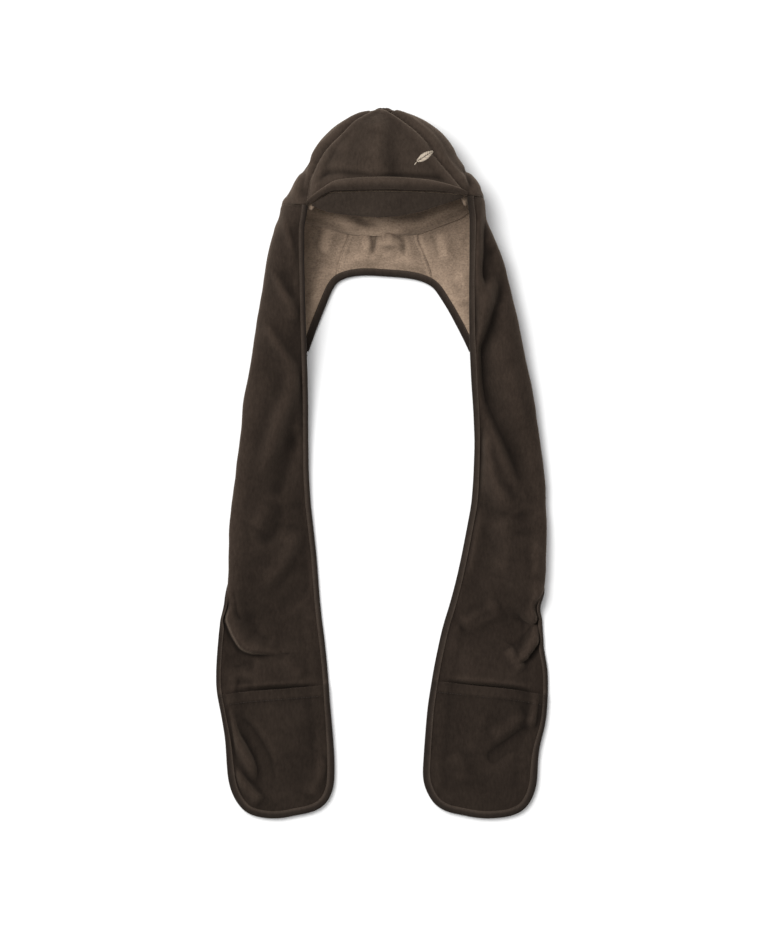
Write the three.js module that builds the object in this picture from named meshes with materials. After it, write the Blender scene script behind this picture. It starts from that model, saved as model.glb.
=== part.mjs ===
// Hooded scarf in millimetres, lying on its back, front side up.
// X runs across, Y runs from the pocket ends up to the top of the head, Z is up from the floor.
// left and right are the sides as seen from above.
import * as THREE from 'three';

// Cloth thicknesses, and the clearance between neighbouring pieces
const SHELL = 2.5;
const SCARF = 2.6;
const LINING = 1.6;
const POCKET = 2;
const TAPE = 1;
const GAP = 0.3;
const LINING_GAP = 1;
const RIM_GAP = 1;
const POCKET_GAP = 0.5;

// The binding: how far its legs reach over the cloth from the cloth's edge
const TAPE_REACH = 7.2;
const EDGE_COVER = TAPE + GAP;

// Crown: middle of its width, height of its widest line, brow height, top of the head
const CROWN_X = 1.8;
const CROWN_WAIST_Z = 29;
const CROWN_BROW_Z = 77;
const CROWN_TOP_Y = 421;
const CROWN_HALF_WIDTH = 98;
const CROWN_FLARE_LEFT = 24;
const CROWN_FLARE_RIGHT = 22;
const CROWN_ROUNDNESS = 2.1;
const FRONT_SQUARENESS = 2.3;
const BACK_SQUARENESS = 4;
const PANEL_TOP = 0.9;
const BACK_SEAM_TURN = 145;
const NECK_SEAM_TURN = 172.96;
const FLARE_HEIGHT = 0.47;

// Soft dent down the middle of the front panel: depth, place and width as shares of the half width
const DENT_DEPTH = 2.5;
const DENT_AT = 0.06;
const DENT_WIDTH = 0.13;

// Gathered dome at the top of the crown, and the lining's distance inside the shell
const PLEATS = 8;
const PLEAT_DEPTH = 1.2;
const GATHER_PUFF = 2.6;
const LINING_CLEAR = 1.7;
const LINING_CLEAR_TOP = 2.4;

// Padding of the brow roll and the visor
const ROLL_THICKNESS = 6;
const ROLL_HEIGHT = 0.105;
const VISOR_THICKNESS = 5.5;
const VISOR_DROP = 9;
const VISOR_GAP = 1;
const VISOR_LEFT_X = -84;
const VISOR_RIGHT_X = 97;
const VISOR_EDGE_HALF = 0.55;

// Scarf ends: heights of the cloth's middle at a bound edge, lying flat and over its own back edge
const BOUND_EDGE_Z = SCARF / 2 + GAP + TAPE + 0.35;
const FLAT_Z = SCARF / 2;
const OVER_BACK_Z = 8;
const OVER_BACK_MARGIN = 8;
const BOTTOM_BOW = 10;
const POCKET_BELLY = 9;

// Distances from a bound edge over which the cloth sinks to the floor, and its folds die out
const SINK_FROM = 14;
const SINK_TO = 26;
const FADE_FROM = 11;
const FADE_TO = 26;
const LEAST_RUN = 9.5;
const STEEP_Z = 22;

// Where the fold opens, Y from and to, with the room left there round the binding
const OPENS_Y = [-45, -72];
const OPEN_Y = [-172, -186];
const FLAT_END_Y = [-165, -185];
const FLAT_STOP_Y = [-382, -402];
const BACK_FREE_Y = -160;
const TURN_SLACK = 1.2;
const SLACK_RAISE = 1.5;

// Y of the rim where the bands join the crown, at the brow corner and behind the neck
const RIM_Y = 309.6;
const NECK_RIM_Y = 277.2;
const RIM_FADE_Y = 190;
const RIM_BLEND_Y = 262;
const COLUMN_SHARES = [0, 0.08, 0.17, 0.26, 0.35, 0.43, 0.5, 0.56, 0.62, 0.69, 0.79, 0.9, 1];
const COLUMNS = COLUMN_SHARES.length - 1;

const SHELL_BROWN = { color: 0x3a322c, roughness: 0.95, metalness: 0 };
const TAPE_BROWN = { color: 0x40382f, roughness: 0.9, metalness: 0 };
const LINING_BEIGE = { color: 0x8f7d69, roughness: 1, metalness: 0 };

// Small helpers
function mix(from, to, share) {
  return from + (to - from) * share;
}

function ease(from, to, value) {
  const share = Math.min(1, Math.max(0, (value - from) / (to - from)));
  return share * share * (3 - 2 * share);
}

// Reads a table whose first column rises or falls steadily, straight between its rows
function look(rows, key, column) {
  const falling = rows[0][0] > rows[rows.length - 1][0];
  const order = falling ? [...rows].reverse() : rows;
  if (key <= order[0][0]) return order[0][column];
  for (let i = 1; i < order.length; i += 1) {
    if (key <= order[i][0]) {
      const share = (key - order[i - 1][0]) / (order[i][0] - order[i - 1][0]);
      return mix(order[i - 1][column], order[i][column], share);
    }
  }
  return order[order.length - 1][column];
}

// Moves every point of a geometry through place(x, y, z)
function bend(geometry, place) {
  const points = geometry.attributes.position;
  for (let i = 0; i < points.count; i += 1) {
    const moved = place(points.getX(i), points.getY(i), points.getZ(i));
    points.setXYZ(i, moved.x, moved.y, moved.z);
  }
  geometry.computeVertexNormals();
  return geometry;
}

// A point lifted square off a surface
function raised(surface, u, v, height) {
  const step = 0.01;
  const across = surface(Math.min(u + step, 1), v).sub(surface(Math.max(u - step, 0), v));
  const along = surface(u, Math.min(v + step, 1)).sub(surface(u, Math.max(v - step, 0)));
  const normal = across.cross(along).normalize();
  return surface(u, v).addScaledVector(normal, height);
}

// A cloth wall between two heights of place(u, v, height); low and high may change over it
function wall(place, columns, rows, low, high) {
  const sheet = new THREE.BoxGeometry(1, 1, 1, columns, rows, 1);
  return bend(sheet, (x, y, z) => {
    const u = x + 0.5;
    const v = y + 0.5;
    return place(u, v, z > 0 ? high(u, v) : low(u, v));
  });
}

function over(surface) {
  return (u, v, height) => raised(surface, u, v, height);
}

// Walks a curve at an even pace
function even(curve, count) {
  const marks = [0];
  let last = curve(0);
  for (let i = 1; i <= count; i += 1) {
    const next = curve(i / count);
    marks.push(marks[i - 1] + next.distanceTo(last));
    last = next;
  }
  return (share) => {
    const goal = share * marks[count];
    let i = 1;
    while (i < count && marks[i] < goal) i += 1;
    const inside = (goal - marks[i - 1]) / (marks[i] - marks[i - 1]);
    return curve((i - 1 + Math.min(1, Math.max(0, inside))) / count);
  };
}

// Crown: Y of its open edge over the share of the half width, front side then back side
const FRONT_EDGE = [
  [-1, 309.8], [-0.75, 307.6], [-0.55, 320.6], [-0.5, 323.4], [0, 324.8],
  [0.5, 323.4], [0.8, 320], [0.85, 318.6], [1, 318.2],
];
const BACK_EDGE = [
  [-1, 309.8], [-0.8, 292.8], [-0.35, 277.2], [0, 274.8], [0.35, 277.2], [0.8, 297.6], [1, 318.2],
];
// Front panel's seams: height up the crown, share of the half width on the left and right
const FRONT_SEAMS = [
  [0, 0.75, 0.85], [0.12, 0.8, 0.81], [0.28, 0.86, 0.76], [0.45, 0.9, 0.7],
  [0.6, 0.87, 0.68], [0.74, 0.76, 0.61], [0.88, 0.7, 0.49], [1, 0.68, 0.38],
];

function crownHeight(up) {
  return Math.sin((up * Math.PI) / 2) ** (2 / CROWN_ROUNDNESS);
}

// turn: degrees round the head, 0 at the brow, rising to the right; up: 0 at the edge, 1 at the top
function crown(turn, up) {
  const angle = (turn * Math.PI) / 180;
  const front = Math.cos(angle) >= 0;
  const power = 2 / (front ? FRONT_SQUARENESS : BACK_SQUARENESS);
  const across = Math.sign(Math.sin(angle)) * Math.abs(Math.sin(angle)) ** power;
  const lift = Math.abs(Math.cos(angle)) ** power;
  const height = crownHeight(up);
  const narrow = Math.abs(Math.cos((up * Math.PI) / 2)) ** (2 / CROWN_ROUNDNESS);
  const low = Math.max(0, 1 - height ** 4) ** 0.25;
  const flare = across < 0 ? CROWN_FLARE_LEFT : CROWN_FLARE_RIGHT;
  const width = CROWN_HALF_WIDTH * narrow + flare * Math.max(0, 1 - height / FLARE_HEIGHT) ** 1.3;
  const edge = look(front ? FRONT_EDGE : BACK_EDGE, across, 1);
  const nearDent = Math.exp(-(((across - DENT_AT) / DENT_WIDTH) ** 2));
  const dent = DENT_DEPTH * nearDent * ease(0.15, 0.4, height) * narrow;
  return new THREE.Vector3(
    CROWN_X + width * across,
    mix(edge, CROWN_TOP_Y, height),
    front
      ? CROWN_WAIST_Z + (CROWN_BROW_Z - CROWN_WAIST_Z) * narrow * lift - dent
      : CROWN_WAIST_Z - (CROWN_WAIST_Z - SHELL / 2) * low * lift,
  );
}

function frontTurn(share) {
  return (Math.asin(share ** (FRONT_SQUARENESS / 2)) * 180) / Math.PI;
}

function leftSeam(up) {
  return -frontTurn(look(FRONT_SEAMS, crownHeight(up), 1));
}

function rightSeam(up) {
  return frontTurn(look(FRONT_SEAMS, crownHeight(up), 2));
}

function rightBackSeam() {
  return BACK_SEAM_TURN;
}

function leftBackSeam() {
  return -BACK_SEAM_TURN;
}

function farBackSeam() {
  return 360 - BACK_SEAM_TURN;
}

// A seam moved round the head by half the gap
function beside(turn, up, side) {
  const pace = crown(turn + 0.5, up).distanceTo(crown(turn - 0.5, up));
  return turn + (side * (GAP / 2) * (1 + 2 * up ** 4)) / pace;
}

// A point lifted square off the crown
function overCrown(turn, up, height) {
  const around = crown(turn + 1, up).sub(crown(turn - 1, up));
  const rise = crown(turn, up + 0.01).sub(crown(turn, Math.max(0, up - 0.01)));
  return crown(turn, up).addScaledVector(around.cross(rise).normalize(), height);
}

function crownPanel(from, to) {
  return (u, v, height) => {
    const up = v * PANEL_TOP;
    return overCrown(mix(beside(from(up), up, 1), beside(to(up), up, -1), u), up, height);
  };
}

function shellWall(panel, columns, rows) {
  return wall(panel, columns, rows, () => -SHELL / 2, () => SHELL / 2);
}

// The dome over the crown's opening, turned in one piece: half width of the cloth and its two faces
function dome(steps, segments, place) {
  const profile = [];
  for (const step of steps) profile.push(new THREE.Vector2(1 - step, 0));
  for (const step of [...steps].reverse()) profile.push(new THREE.Vector2(1 - step, 1));
  return bend(new THREE.LatheGeometry(profile, segments), (x, y, z) => {
    const turn = (Math.atan2(x, z) * 180) / Math.PI;
    return place(turn, 1 - Math.hypot(x, z), y > 0.5);
  });
}

function gatherPlace(turn, part, outside) {
  const up = mix(PANEL_TOP + 0.012, 1, part);
  const pleat = PLEAT_DEPTH * Math.cos((turn * Math.PI * PLEATS) / 180) * Math.sin(part * Math.PI);
  const puff = GATHER_PUFF * ease(0, 0.5, part) - (GATHER_PUFF - 1) * ease(0.75, 1, part);
  const point = crown(turn, up);
  point.y += outside ? SHELL / 2 + puff + pleat : -SHELL / 2;
  return point;
}

function liningPlace(turn, up, outside) {
  const depth = SHELL / 2 + LINING_CLEAR + LINING_CLEAR_TOP * ease(0.75, 0.9, up) + (outside ? 0 : LINING);
  if (up > 0.999) return crown(turn, 1).addScaledVector(new THREE.Vector3(0, 1, 0), -depth);
  return overCrown(turn, mix(0.012, 1, up), -depth);
}

// Brow roll: a padded fold lying on the front panel just above the visor's seam
function rollPlace(u, v, height) {
  const taper = ease(-0.05, 0.16, u) * ease(-0.05, 0.16, 1 - u);
  const up = 0.004 + ROLL_HEIGHT * taper * v;
  return overCrown(mix(beside(leftSeam(up), up, 6), beside(rightSeam(up), up, -6), u), up, height);
}

function rollTop(u, v) {
  const taper = ease(-0.05, 0.16, u) * ease(-0.05, 0.16, 1 - u);
  return SHELL / 2 + GAP + 1.6 + (ROLL_THICKNESS - 1.6) * taper * Math.sin(Math.PI * mix(0.1, 0.95, v));
}

// Visor's free edge: X, Y
const VISOR_EDGE = [
  [VISOR_LEFT_X, 307], [-66, 298.6], [-39.6, 294.8], [-16.8, 293], [-1.2, 292.2], [18, 293.6],
  [44.4, 298.6], [73.2, 308.4], [VISOR_RIGHT_X, 316.4],
];

function visorDepth(u) {
  return ease(-0.1, 0.4, u) * ease(-0.1, 0.4, 1 - u);
}

function visorSurface(u, v) {
  const x = mix(VISOR_LEFT_X, VISOR_RIGHT_X, u);
  const share = (x - CROWN_X) / (CROWN_HALF_WIDTH + (x < 0 ? CROWN_FLARE_LEFT : CROWN_FLARE_RIGHT));
  const seam = crown(Math.sign(share) * frontTurn(Math.abs(share)), 0);
  const edge = look(VISOR_EDGE, x, 1);
  const deep = 1 - v;
  return new THREE.Vector3(
    x,
    mix(seam.y - VISOR_GAP, Math.min(edge, seam.y - 4), deep),
    seam.z - 1.2 - VISOR_DROP * visorDepth(u) * deep ** 1.6,
  );
}

function visorHalf(u, v) {
  const round = Math.sqrt(Math.max(0, 1 - (1 - Math.min(v * 2.6, 1)) ** 2));
  return mix(VISOR_EDGE_HALF, VISOR_THICKNESS / 2, visorDepth(u)) * mix(0.45, 1, round);
}

// Scarf rows: Y, inner edge X, outer edge X, inner edge Z, top of the fold Z, fold's half width, turn
const LEFT = {
  out: -1,
  height: 1,
  neckBoundY: 219,
  seam: (share) => mix(leftSeam(0), -NECK_SEAM_TURN, share),
  table: [
    [309.6, -92.4, -122.4, 63, 62, 28, 180],
    [283, -92.8, -128.9, 59, 58, 32, 180],
    [244.8, -93, -138, 52, 53, 36, 180],
    [190.8, -92, -146.8, 42, 45, 37, 180],
    [140.4, -90.6, -154.2, 30, 37, 33, 180],
    [104.4, -89.4, -160.3, 22, 31, 28, 180],
    [73.2, -88.8, -165.6, 16, 27, 22, 180],
    [30, -88.8, -170.4, 10, 22, 16, 180],
    [-12, -88.2, -175.2, 7, 19, 13, 180],
    [-49.2, -86, -179.6, 5, 18, 12, 180],
    [-76.8, -82.8, -182.9, 4, 20, 13, 180],
    [-109.2, -79.2, -183.8, 3, 21, 14, 180],
    [-136, -77.1, -184.7, 2.6, 20, 14, 150],
    [-154.8, -75.8, -185.3, 2.6, 16, 11, 90],
    [-170.4, -74.4, -192.6, 2.6, 9, 7, 30],
    [-187.2, -72.7, -194.6, 2.6, 2.8, 1, 0],
    [-208.8, -69.8, -196.8, 2.6, 2.6, 1, 0],
    [-231.6, -67.4, -198.7, 2.6, 2.6, 1, 0],
    [-250.8, -65.5, -199.8, 2.6, 2.6, 1, 0],
    [-273.6, -63.8, -199.4, 2.6, 2.6, 1, 0],
    [-291.6, -62.5, -195.6, 2.6, 2.6, 1, 0],
    [-313.2, -60.4, -191.5, 2.6, 2.6, 1, 0],
    [-333.6, -58.8, -188.4, 2.6, 2.6, 1, 0],
    [-354, -57.4, -187.4, 2.6, 2.6, 1, 0],
    [-378, -57.3, -185.6, 2.6, 2.6, 1, 0],
    [-389, -58.2, -183, 2.6, 2.6, 1, 0],
    [-403, -63.6, -176.8, 2.6, 2.6, 1, 0],
    [-414, -73.8, -168.5, 2.6, 2.6, 1, 0],
  ],
  // Back edge: Y, X
  back: [
    [277, -42.2], [234, -53.6], [219, -56], [203, -63.7], [187, -69.9], [163, -79.5],
    [130, -91], [-154.8, -184],
  ],
  rows: [
    309.6, 296, 281, 264, 247, 229.8, 208, 184, 158, 130, 104, 74, 40, 4, -34, -72, -104, -118, -128, -136,
    -143, -149, -155, -161, -168, -176, -188, -206, -226, -243, -256, -264, -276, -290, -312, -336, -360,
    -380, -393, -404, -414,
  ],
  // Mouth of the pocket: share across, Y
  mouth: [[0, -266.4], [0.12, -268], [0.4, -270.5], [0.75, -274], [1, -278.4]],
  // Folds: height, width, then points X, Y
  pocketFolds: [
    [2, 9, [[-176, -306], [-170, -325], [-162, -340], [-150, -362]]],
    [1.5, 9, [[-166, -362], [-152, -384]]],
  ],
  folds: [
    [4, 9, [[-121, 297], [-116, 283], [-113, 270], [-112, 251], [-111, 238]]],
    [4, 9, [[-127.8, 224], [-117.6, 204], [-106.8, 184], [-103, 174]]],
    [4, 10, [[-141.6, 164], [-122.4, 138], [-106.8, 113]]],
    [5, 10, [[-111.6, 120], [-109, 94], [-114, 74], [-125, 52], [-133, 19], [-144, -13]]],
    [-3.5, 10, [[-108, 30], [-121, -11], [-128, -40]]],
    [2.5, 10, [[-136, -64], [-147, -74]]],
    [-2.5, 9, [[-94, -128], [-106, -146], [-119, -162]]],
    [6, 9, [[-178, -150], [-178, -190], [-169, -216], [-156, -226], [-137, -229]]],
  ],
};

const RIGHT = {
  out: 1,
  height: -1,
  neckBoundY: 213,
  seam: (share) => mix(rightSeam(0), NECK_SEAM_TURN, share),
  table: [
    [309.6, 105.4, 123.6, 56, 55, 18, 180],
    [286.8, 105.1, 123.6, 53, 52, 18, 180],
    [265.2, 104.9, 133.8, 50, 50, 26, 180],
    [238.8, 104.8, 145.7, 46, 48, 32, 180],
    [214.8, 104.6, 151.7, 42, 45, 36, 180],
    [178.8, 104.5, 160.6, 36, 41, 35, 180],
    [140.4, 105.2, 169.6, 28, 36, 31, 180],
    [98.4, 107.2, 178.6, 20, 30, 26, 180],
    [62.4, 109.8, 184.4, 14, 26, 21, 180],
    [24, 111.4, 190.4, 9, 22, 16, 180],
    [-20.4, 109.8, 194.9, 6, 19, 13, 180],
    [-49.2, 107.6, 196.3, 4.5, 17, 11, 180],
    [-79.2, 102, 197.2, 3.5, 19, 12, 180],
    [-110.4, 96, 196.8, 3, 21, 14, 180],
    [-138, 90, 196, 2.6, 20, 14, 150],
    [-157.2, 85, 193.8, 2.6, 16, 11, 90],
    [-171.6, 81.1, 191, 2.6, 9, 7, 30],
    [-184.8, 76.8, 193.2, 2.6, 2.8, 1, 0],
    [-199.2, 72.5, 192.7, 2.6, 2.6, 1, 0],
    [-224.4, 67, 194.8, 2.6, 2.6, 1, 0],
    [-244.8, 62.8, 199, 2.6, 2.6, 1, 0],
    [-265.2, 59.4, 199.9, 2.6, 2.6, 1, 0],
    [-291.6, 55.2, 199, 2.6, 2.6, 1, 0],
    [-313.2, 53.2, 196.8, 2.6, 2.6, 1, 0],
    [-334.8, 51.5, 190.8, 2.6, 2.6, 1, 0],
    [-354, 50.2, 187.6, 2.6, 2.6, 1, 0],
    [-376, 48.5, 187, 2.6, 2.6, 1, 0],
    [-388.8, 50.2, 185.8, 2.6, 2.6, 1, 0],
    [-399.6, 55.2, 183, 2.6, 2.6, 1, 0],
    [-412, 68, 175, 2.6, 2.6, 1, 0],
  ],
  back: [
    [277, 42.2], [223, 60.2], [213, 63], [206, 67], [185, 80.5], [160, 93.7], [136, 105.7],
    [-104, 176], [-165, 188.6],
  ],
  rows: [
    309.6, 294, 277, 259, 240, 221.5, 204, 184, 158, 132, 104, 74, 40, 4, -34, -72, -104, -120, -130, -138,
    -145, -151, -157, -163, -170, -178, -190, -208, -230, -246, -257, -264, -276, -290, -312, -336, -358,
    -378, -390, -401, -412,
  ],
  mouth: [[0, -261.6], [0.35, -266.4], [0.7, -271], [1, -278.4]],
  pocketFolds: [
    [3, 9, [[184, -284], [176, -308]]],
    [1.5, 10, [[168, -318], [150, -336]]],
  ],
  folds: [
    [-5, 10, [[124, 288], [122, 272], [121, 239], [121, 221], [127, 212]]],
    [-6, 9, [[143, 228], [134, 190], [126, 155], [118, 134], [117.6, 106], [125, 79], [138, 46], [151, 17],
      [163, -10], [168, -23]]],
    [3, 9, [[122, 12], [134, -34]]],
    [-2.5, 10, [[160, -80], [171, -86]]],
    [3, 9, [[176, -150], [184, -158]]],
    [6, 8, [[187, -175], [186, -206], [178, -222], [168, -236], [164, -246]]],
  ],
};

function foldHeight(folds, x, y) {
  let height = 0;
  for (const [size, width, points] of folds) {
    let nearest = Infinity;
    for (let i = 1; i < points.length; i += 1) {
      const [ax, ay] = points[i - 1];
      const [bx, by] = points[i];
      const length = (bx - ax) ** 2 + (by - ay) ** 2;
      const share = Math.min(1, Math.max(0, ((x - ax) * (bx - ax) + (y - ay) * (by - ay)) / length));
      nearest = Math.min(nearest, Math.hypot(x - mix(ax, bx, share), y - mix(ay, by, share)));
    }
    height += size * Math.exp(-((nearest / width) ** 2));
  }
  return height;
}

// Room left round the binding where the band folds open
function turnSlack(y) {
  return TURN_SLACK * ease(OPENS_Y[0], OPENS_Y[1], y) * ease(OPEN_Y[1], OPEN_Y[0], y);
}

// One point of the band: u from the inner edge round the fold to the back edge, y the row
function bandPoint(side, u, y) {
  const rise = Math.max(0, Math.min(1, (y - RIM_FADE_Y) / (RIM_Y - RIM_FADE_Y)));
  const endY = y + (NECK_RIM_Y - RIM_Y) * rise;
  const inner = look(side.table, y, 1) + side.out * EDGE_COVER;
  const width = Math.abs(look(side.table, y, 2) - inner) - EDGE_COVER;
  const innerZ = Math.max(BOUND_EDGE_Z, look(side.table, y, 3));
  const foldZ = Math.max(BOUND_EDGE_Z, look(side.table, y, 4));
  const foldWidth = Math.min(width - LEAST_RUN, look(side.table, y, 5));
  const turn = (look(side.table, y, 6) * Math.PI) / 180;
  const back = side.out * (look(side.back, endY, 1) - inner);
  const runOut = width - foldWidth;
  const runBack = turn > 3.1 ? Math.max(0, runOut - back) : 0;
  const bound = 1 - ease(side.neckBoundY + 9, side.neckBoundY + 20, endY);
  const lift = (BOUND_EDGE_Z - FLAT_Z) * bound;
  const floorZ = FLAT_Z + lift * (1 - ease(SINK_FROM, SINK_TO, runBack)) + SLACK_RAISE * turnSlack(y);
  const half = (foldZ - floorZ) / 2;
  const arc = turn * Math.sqrt((foldWidth ** 2 + half ** 2) / 2);
  const walked = u * (runOut + arc + runBack);
  let out;
  let z;
  let topness = 0;
  if (walked <= runOut) {
    const reach = mix(Math.max(SINK_FROM, Math.min(runOut, back - 4)), runOut, ease(3, STEEP_Z, innerZ));
    const flat = ease(FLAT_END_Y[0], FLAT_END_Y[1], y) * ease(FLAT_STOP_Y[1], FLAT_STOP_Y[0], y);
    out = walked;
    z = mix(innerZ, foldZ, ease(0, reach, walked));
    const inside = ease(SINK_FROM, SINK_TO, walked) * ease(SINK_FROM, SINK_TO, runOut - walked);
    z -= (BOUND_EDGE_Z - FLAT_Z) * flat * inside;
    topness = 1;
  } else if (walked <= runOut + arc) {
    const angle = ((walked - runOut) / arc) * turn;
    out = runOut + foldWidth * Math.sin(angle);
    z = floorZ + half + half * Math.cos(angle);
    topness = Math.max(0, Math.cos(angle));
  } else {
    out = runOut - (walked - runOut - arc);
    const left = runOut + arc + runBack - walked;
    const risen = FLAT_Z + lift * (1 - ease(SINK_FROM, SINK_TO, left)) + SLACK_RAISE * turnSlack(y);
    z = Math.max(floorZ, risen);
  }
  const x = inner + side.out * out;
  const bow = -BOTTOM_BOW * ease(-376, -412, y) * (1 - (2 * u - 1) ** 2);
  const rim = side.rim(u);
  const farEdge = ease(FADE_FROM, FADE_TO, runOut + arc - walked);
  const calm = ease(FADE_FROM, FADE_TO, walked) * mix(farEdge, 1, turn / Math.PI);
  const folded = z + foldHeight(side.folds, x, y) * topness * calm;
  const overBack = y > BACK_FREE_Y && back > 0 && walked > back - OVER_BACK_MARGIN && topness > 0.5;
  const lowest = Math.min(z, overBack ? OVER_BACK_Z : FLAT_Z);
  const point = new THREE.Vector3(x, y + bow + (rim.y - RIM_GAP - RIM_Y) * rise, Math.max(folded, lowest));
  const blend = ease(RIM_BLEND_Y, RIM_Y, y);
  return point.lerp(new THREE.Vector3(rim.x, point.y, rim.z), blend);
}

function rowY(side, v) {
  const place = v * (side.rows.length - 1);
  const index = Math.min(side.rows.length - 2, Math.floor(place));
  return mix(side.rows[index], side.rows[index + 1], place - index);
}

// The share along the rows at which the band reaches a Y
function rowShare(side, y) {
  let i = 1;
  while (i < side.rows.length - 1 && side.rows[i] > y) i += 1;
  const inside = (side.rows[i - 1] - y) / (side.rows[i - 1] - side.rows[i]);
  return (i - 1 + inside) / (side.rows.length - 1);
}

function columnShare(u) {
  const index = Math.min(COLUMNS - 1, Math.floor(u * COLUMNS + 1e-9));
  return mix(COLUMN_SHARES[index], COLUMN_SHARES[index + 1], u * COLUMNS - index);
}

function band(side) {
  return (u, v) => bandPoint(side, columnShare(u), rowY(side, v));
}

for (const side of [LEFT, RIGHT]) {
  side.rim = even((share) => crown(side.seam(share), 0), 60);
  side.lastRow = side.rows.length - 1;
}

function scarfSheet(place, columns, rows) {
  return wall(place, columns, rows, () => -SCARF / 2, () => SCARF / 2);
}

// Lining of the neck, inside the band from its inner edge to the neck seam or the binding.
// Rows and columns change places, so that its facets are creased the same way as the band's.
function neckLining(side) {
  const rows = side.rows.filter((y) => y > 134).length - 1;
  const place = (v, u, height) => {
    const row = mix(0.25, rows, v) / side.lastRow;
    const end = 1 - 0.062 * ease(side.neckBoundY + 40, side.neckBoundY + 20, rowY(side, row));
    const column = 1 + u * (COLUMNS - 1);
    const last = mix(COLUMNS - 1, COLUMNS * end, Math.max(0, column - COLUMNS + 1));
    return raised(band(side), Math.min(column, last) / COLUMNS, row, height);
  };
  const near = -side.height * (SCARF / 2 + LINING_GAP);
  const far = -side.height * (SCARF / 2 + LINING_GAP + LINING);
  return wall(place, rows, COLUMNS - 1, () => Math.max(near, far), () => Math.min(near, far));
}

// Patch pocket: it lies on the band's end and stands open at its mouth
const POCKET_ROWS = 8;

function pocketWall(side) {
  const place = (u, v, height) => {
    const row = v * POCKET_ROWS;
    const top = rowShare(side, look(side.mouth, u, 1));
    const second = (side.lastRow - POCKET_ROWS + 1) / side.lastRow;
    const share = row < 1 ? mix(top, second, row) : (side.lastRow - POCKET_ROWS + row) / side.lastRow;
    const middle = ease(1 / COLUMNS, 0.5, u) * ease(1 / COLUMNS, 0.5, 1 - u);
    const belly = POCKET_BELLY * middle * (1 - ease(0, 0.85, v));
    const point = raised(band(side), u, share, side.height * height);
    const fold = Math.max(0, foldHeight(side.pocketFolds, point.x, point.y));
    point.z += belly + fold * Math.min(1, 3 * middle);
    return point;
  };
  const inner = SCARF / 2 + POCKET_GAP;
  const outer = inner + POCKET;
  const low = side.height > 0 ? inner : outer;
  const high = side.height > 0 ? outer : inner;
  return wall(place, COLUMNS, POCKET_ROWS, () => low, () => high);
}

// Binding: a channel of tape swept round a run of edge stations
function binding(stations) {
  const channel = new THREE.Shape();
  channel.moveTo(-EDGE_COVER, -2);
  channel.lineTo(TAPE_REACH, -2);
  channel.lineTo(TAPE_REACH, -1);
  channel.lineTo(-GAP, -1);
  channel.lineTo(-GAP, 1);
  channel.lineTo(TAPE_REACH, 1);
  channel.lineTo(TAPE_REACH, 2);
  channel.lineTo(-EDGE_COVER, 2);
  channel.closePath();
  const steps = stations.length - 1;
  const tape = new THREE.ExtrudeGeometry(channel, { steps, depth: 1, bevelEnabled: false });
  return bend(tape, (x, y, z) => {
    const index = Math.round(z * steps);
    const { edge, inward, extra, loose, reach } = stations[index];
    const along = stations[Math.min(index + 1, steps)].edge.clone();
    along.sub(stations[Math.max(index - 1, 0)].edge).normalize();
    const square = inward.clone().addScaledVector(along, -inward.dot(along)).normalize();
    const normal = along.clone().cross(square).normalize();
    const face = SCARF / 2 + GAP + loose + (Math.abs(y) > 1.5 ? TAPE : 0);
    const height = Math.sign(y) * face + (y > 0 ? extra : 0);
    const inside = x < 0 ? x - 1.3 * loose : Math.min(x, reach);
    return edge.clone().addScaledVector(square, inside).addScaledVector(normal, height);
  });
}

// A station of the band's edge, with the way into the cloth and the pocket's extra thickness
function station(side, column, row, intoU, intoV) {
  const at = (c, r) => band(side)(c / COLUMNS, r / side.lastRow);
  const edge = at(column, row);
  const inward = new THREE.Vector3();
  if (intoU !== 0) inward.add(at(column + intoU, row).sub(edge).normalize());
  if (intoV !== 0) inward.add(at(column, row + intoV).sub(edge).normalize());
  const y = side.rows[row];
  const mouthY = look(side.mouth, column / COLUMNS, 1);
  const extra = y < mouthY + 9 ? POCKET + POCKET_GAP : 0;
  const neckSlack = column === COLUMNS ? 0.25 * ease(120, 140, y) : 0.5 * ease(190, 230, y);
  const loose = 0.1 + neckSlack + (column === COLUMNS ? turnSlack(y) : 0);
  const facet = at(column + intoU, row + intoV).distanceTo(edge);
  const reach = facet * (turnSlack(y) > 0 ? 0.4 : 0.8);
  return { edge, inward: inward.normalize(), extra, loose, reach };
}

// The long binding: from the brow corner down the inner edge, round the end and up behind the neck
function longBinding(side) {
  const run = [];
  for (let row = 0; row <= side.lastRow - 1; row += 1) run.push(station(side, 0, row, 1, 0));
  run.push(station(side, 0, side.lastRow, 1, -1));
  for (let column = 1; column < COLUMNS; column += 1) run.push(station(side, column, side.lastRow, 0, -1));
  run.push(station(side, COLUMNS, side.lastRow, -1, -1));
  const neckRow = side.rows.findIndex((y) => y < 134);
  for (let row = side.lastRow - 1; row >= neckRow; row -= 1) run.push(station(side, COLUMNS, row, -1, 0));
  run[0].edge.lerp(run[1].edge, 0.12);
  const last = run.length - 1;
  run[last].edge.lerp(run[last - 1].edge, 0.05);
  return binding(side.out > 0 ? run : run.reverse());
}

// Middle of the neck: u from left to right, v from the bound edge up to the crown's seam
const NECK_COLUMNS = 8;
const NECK_ROWS = 5;
const NECK_LOW_BOW = [[0, 0], [0.14, 7.5], [0.3, 10.2], [0.5, 9.6], [0.68, 9.4], [0.85, 7.6], [1, 0]];

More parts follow.
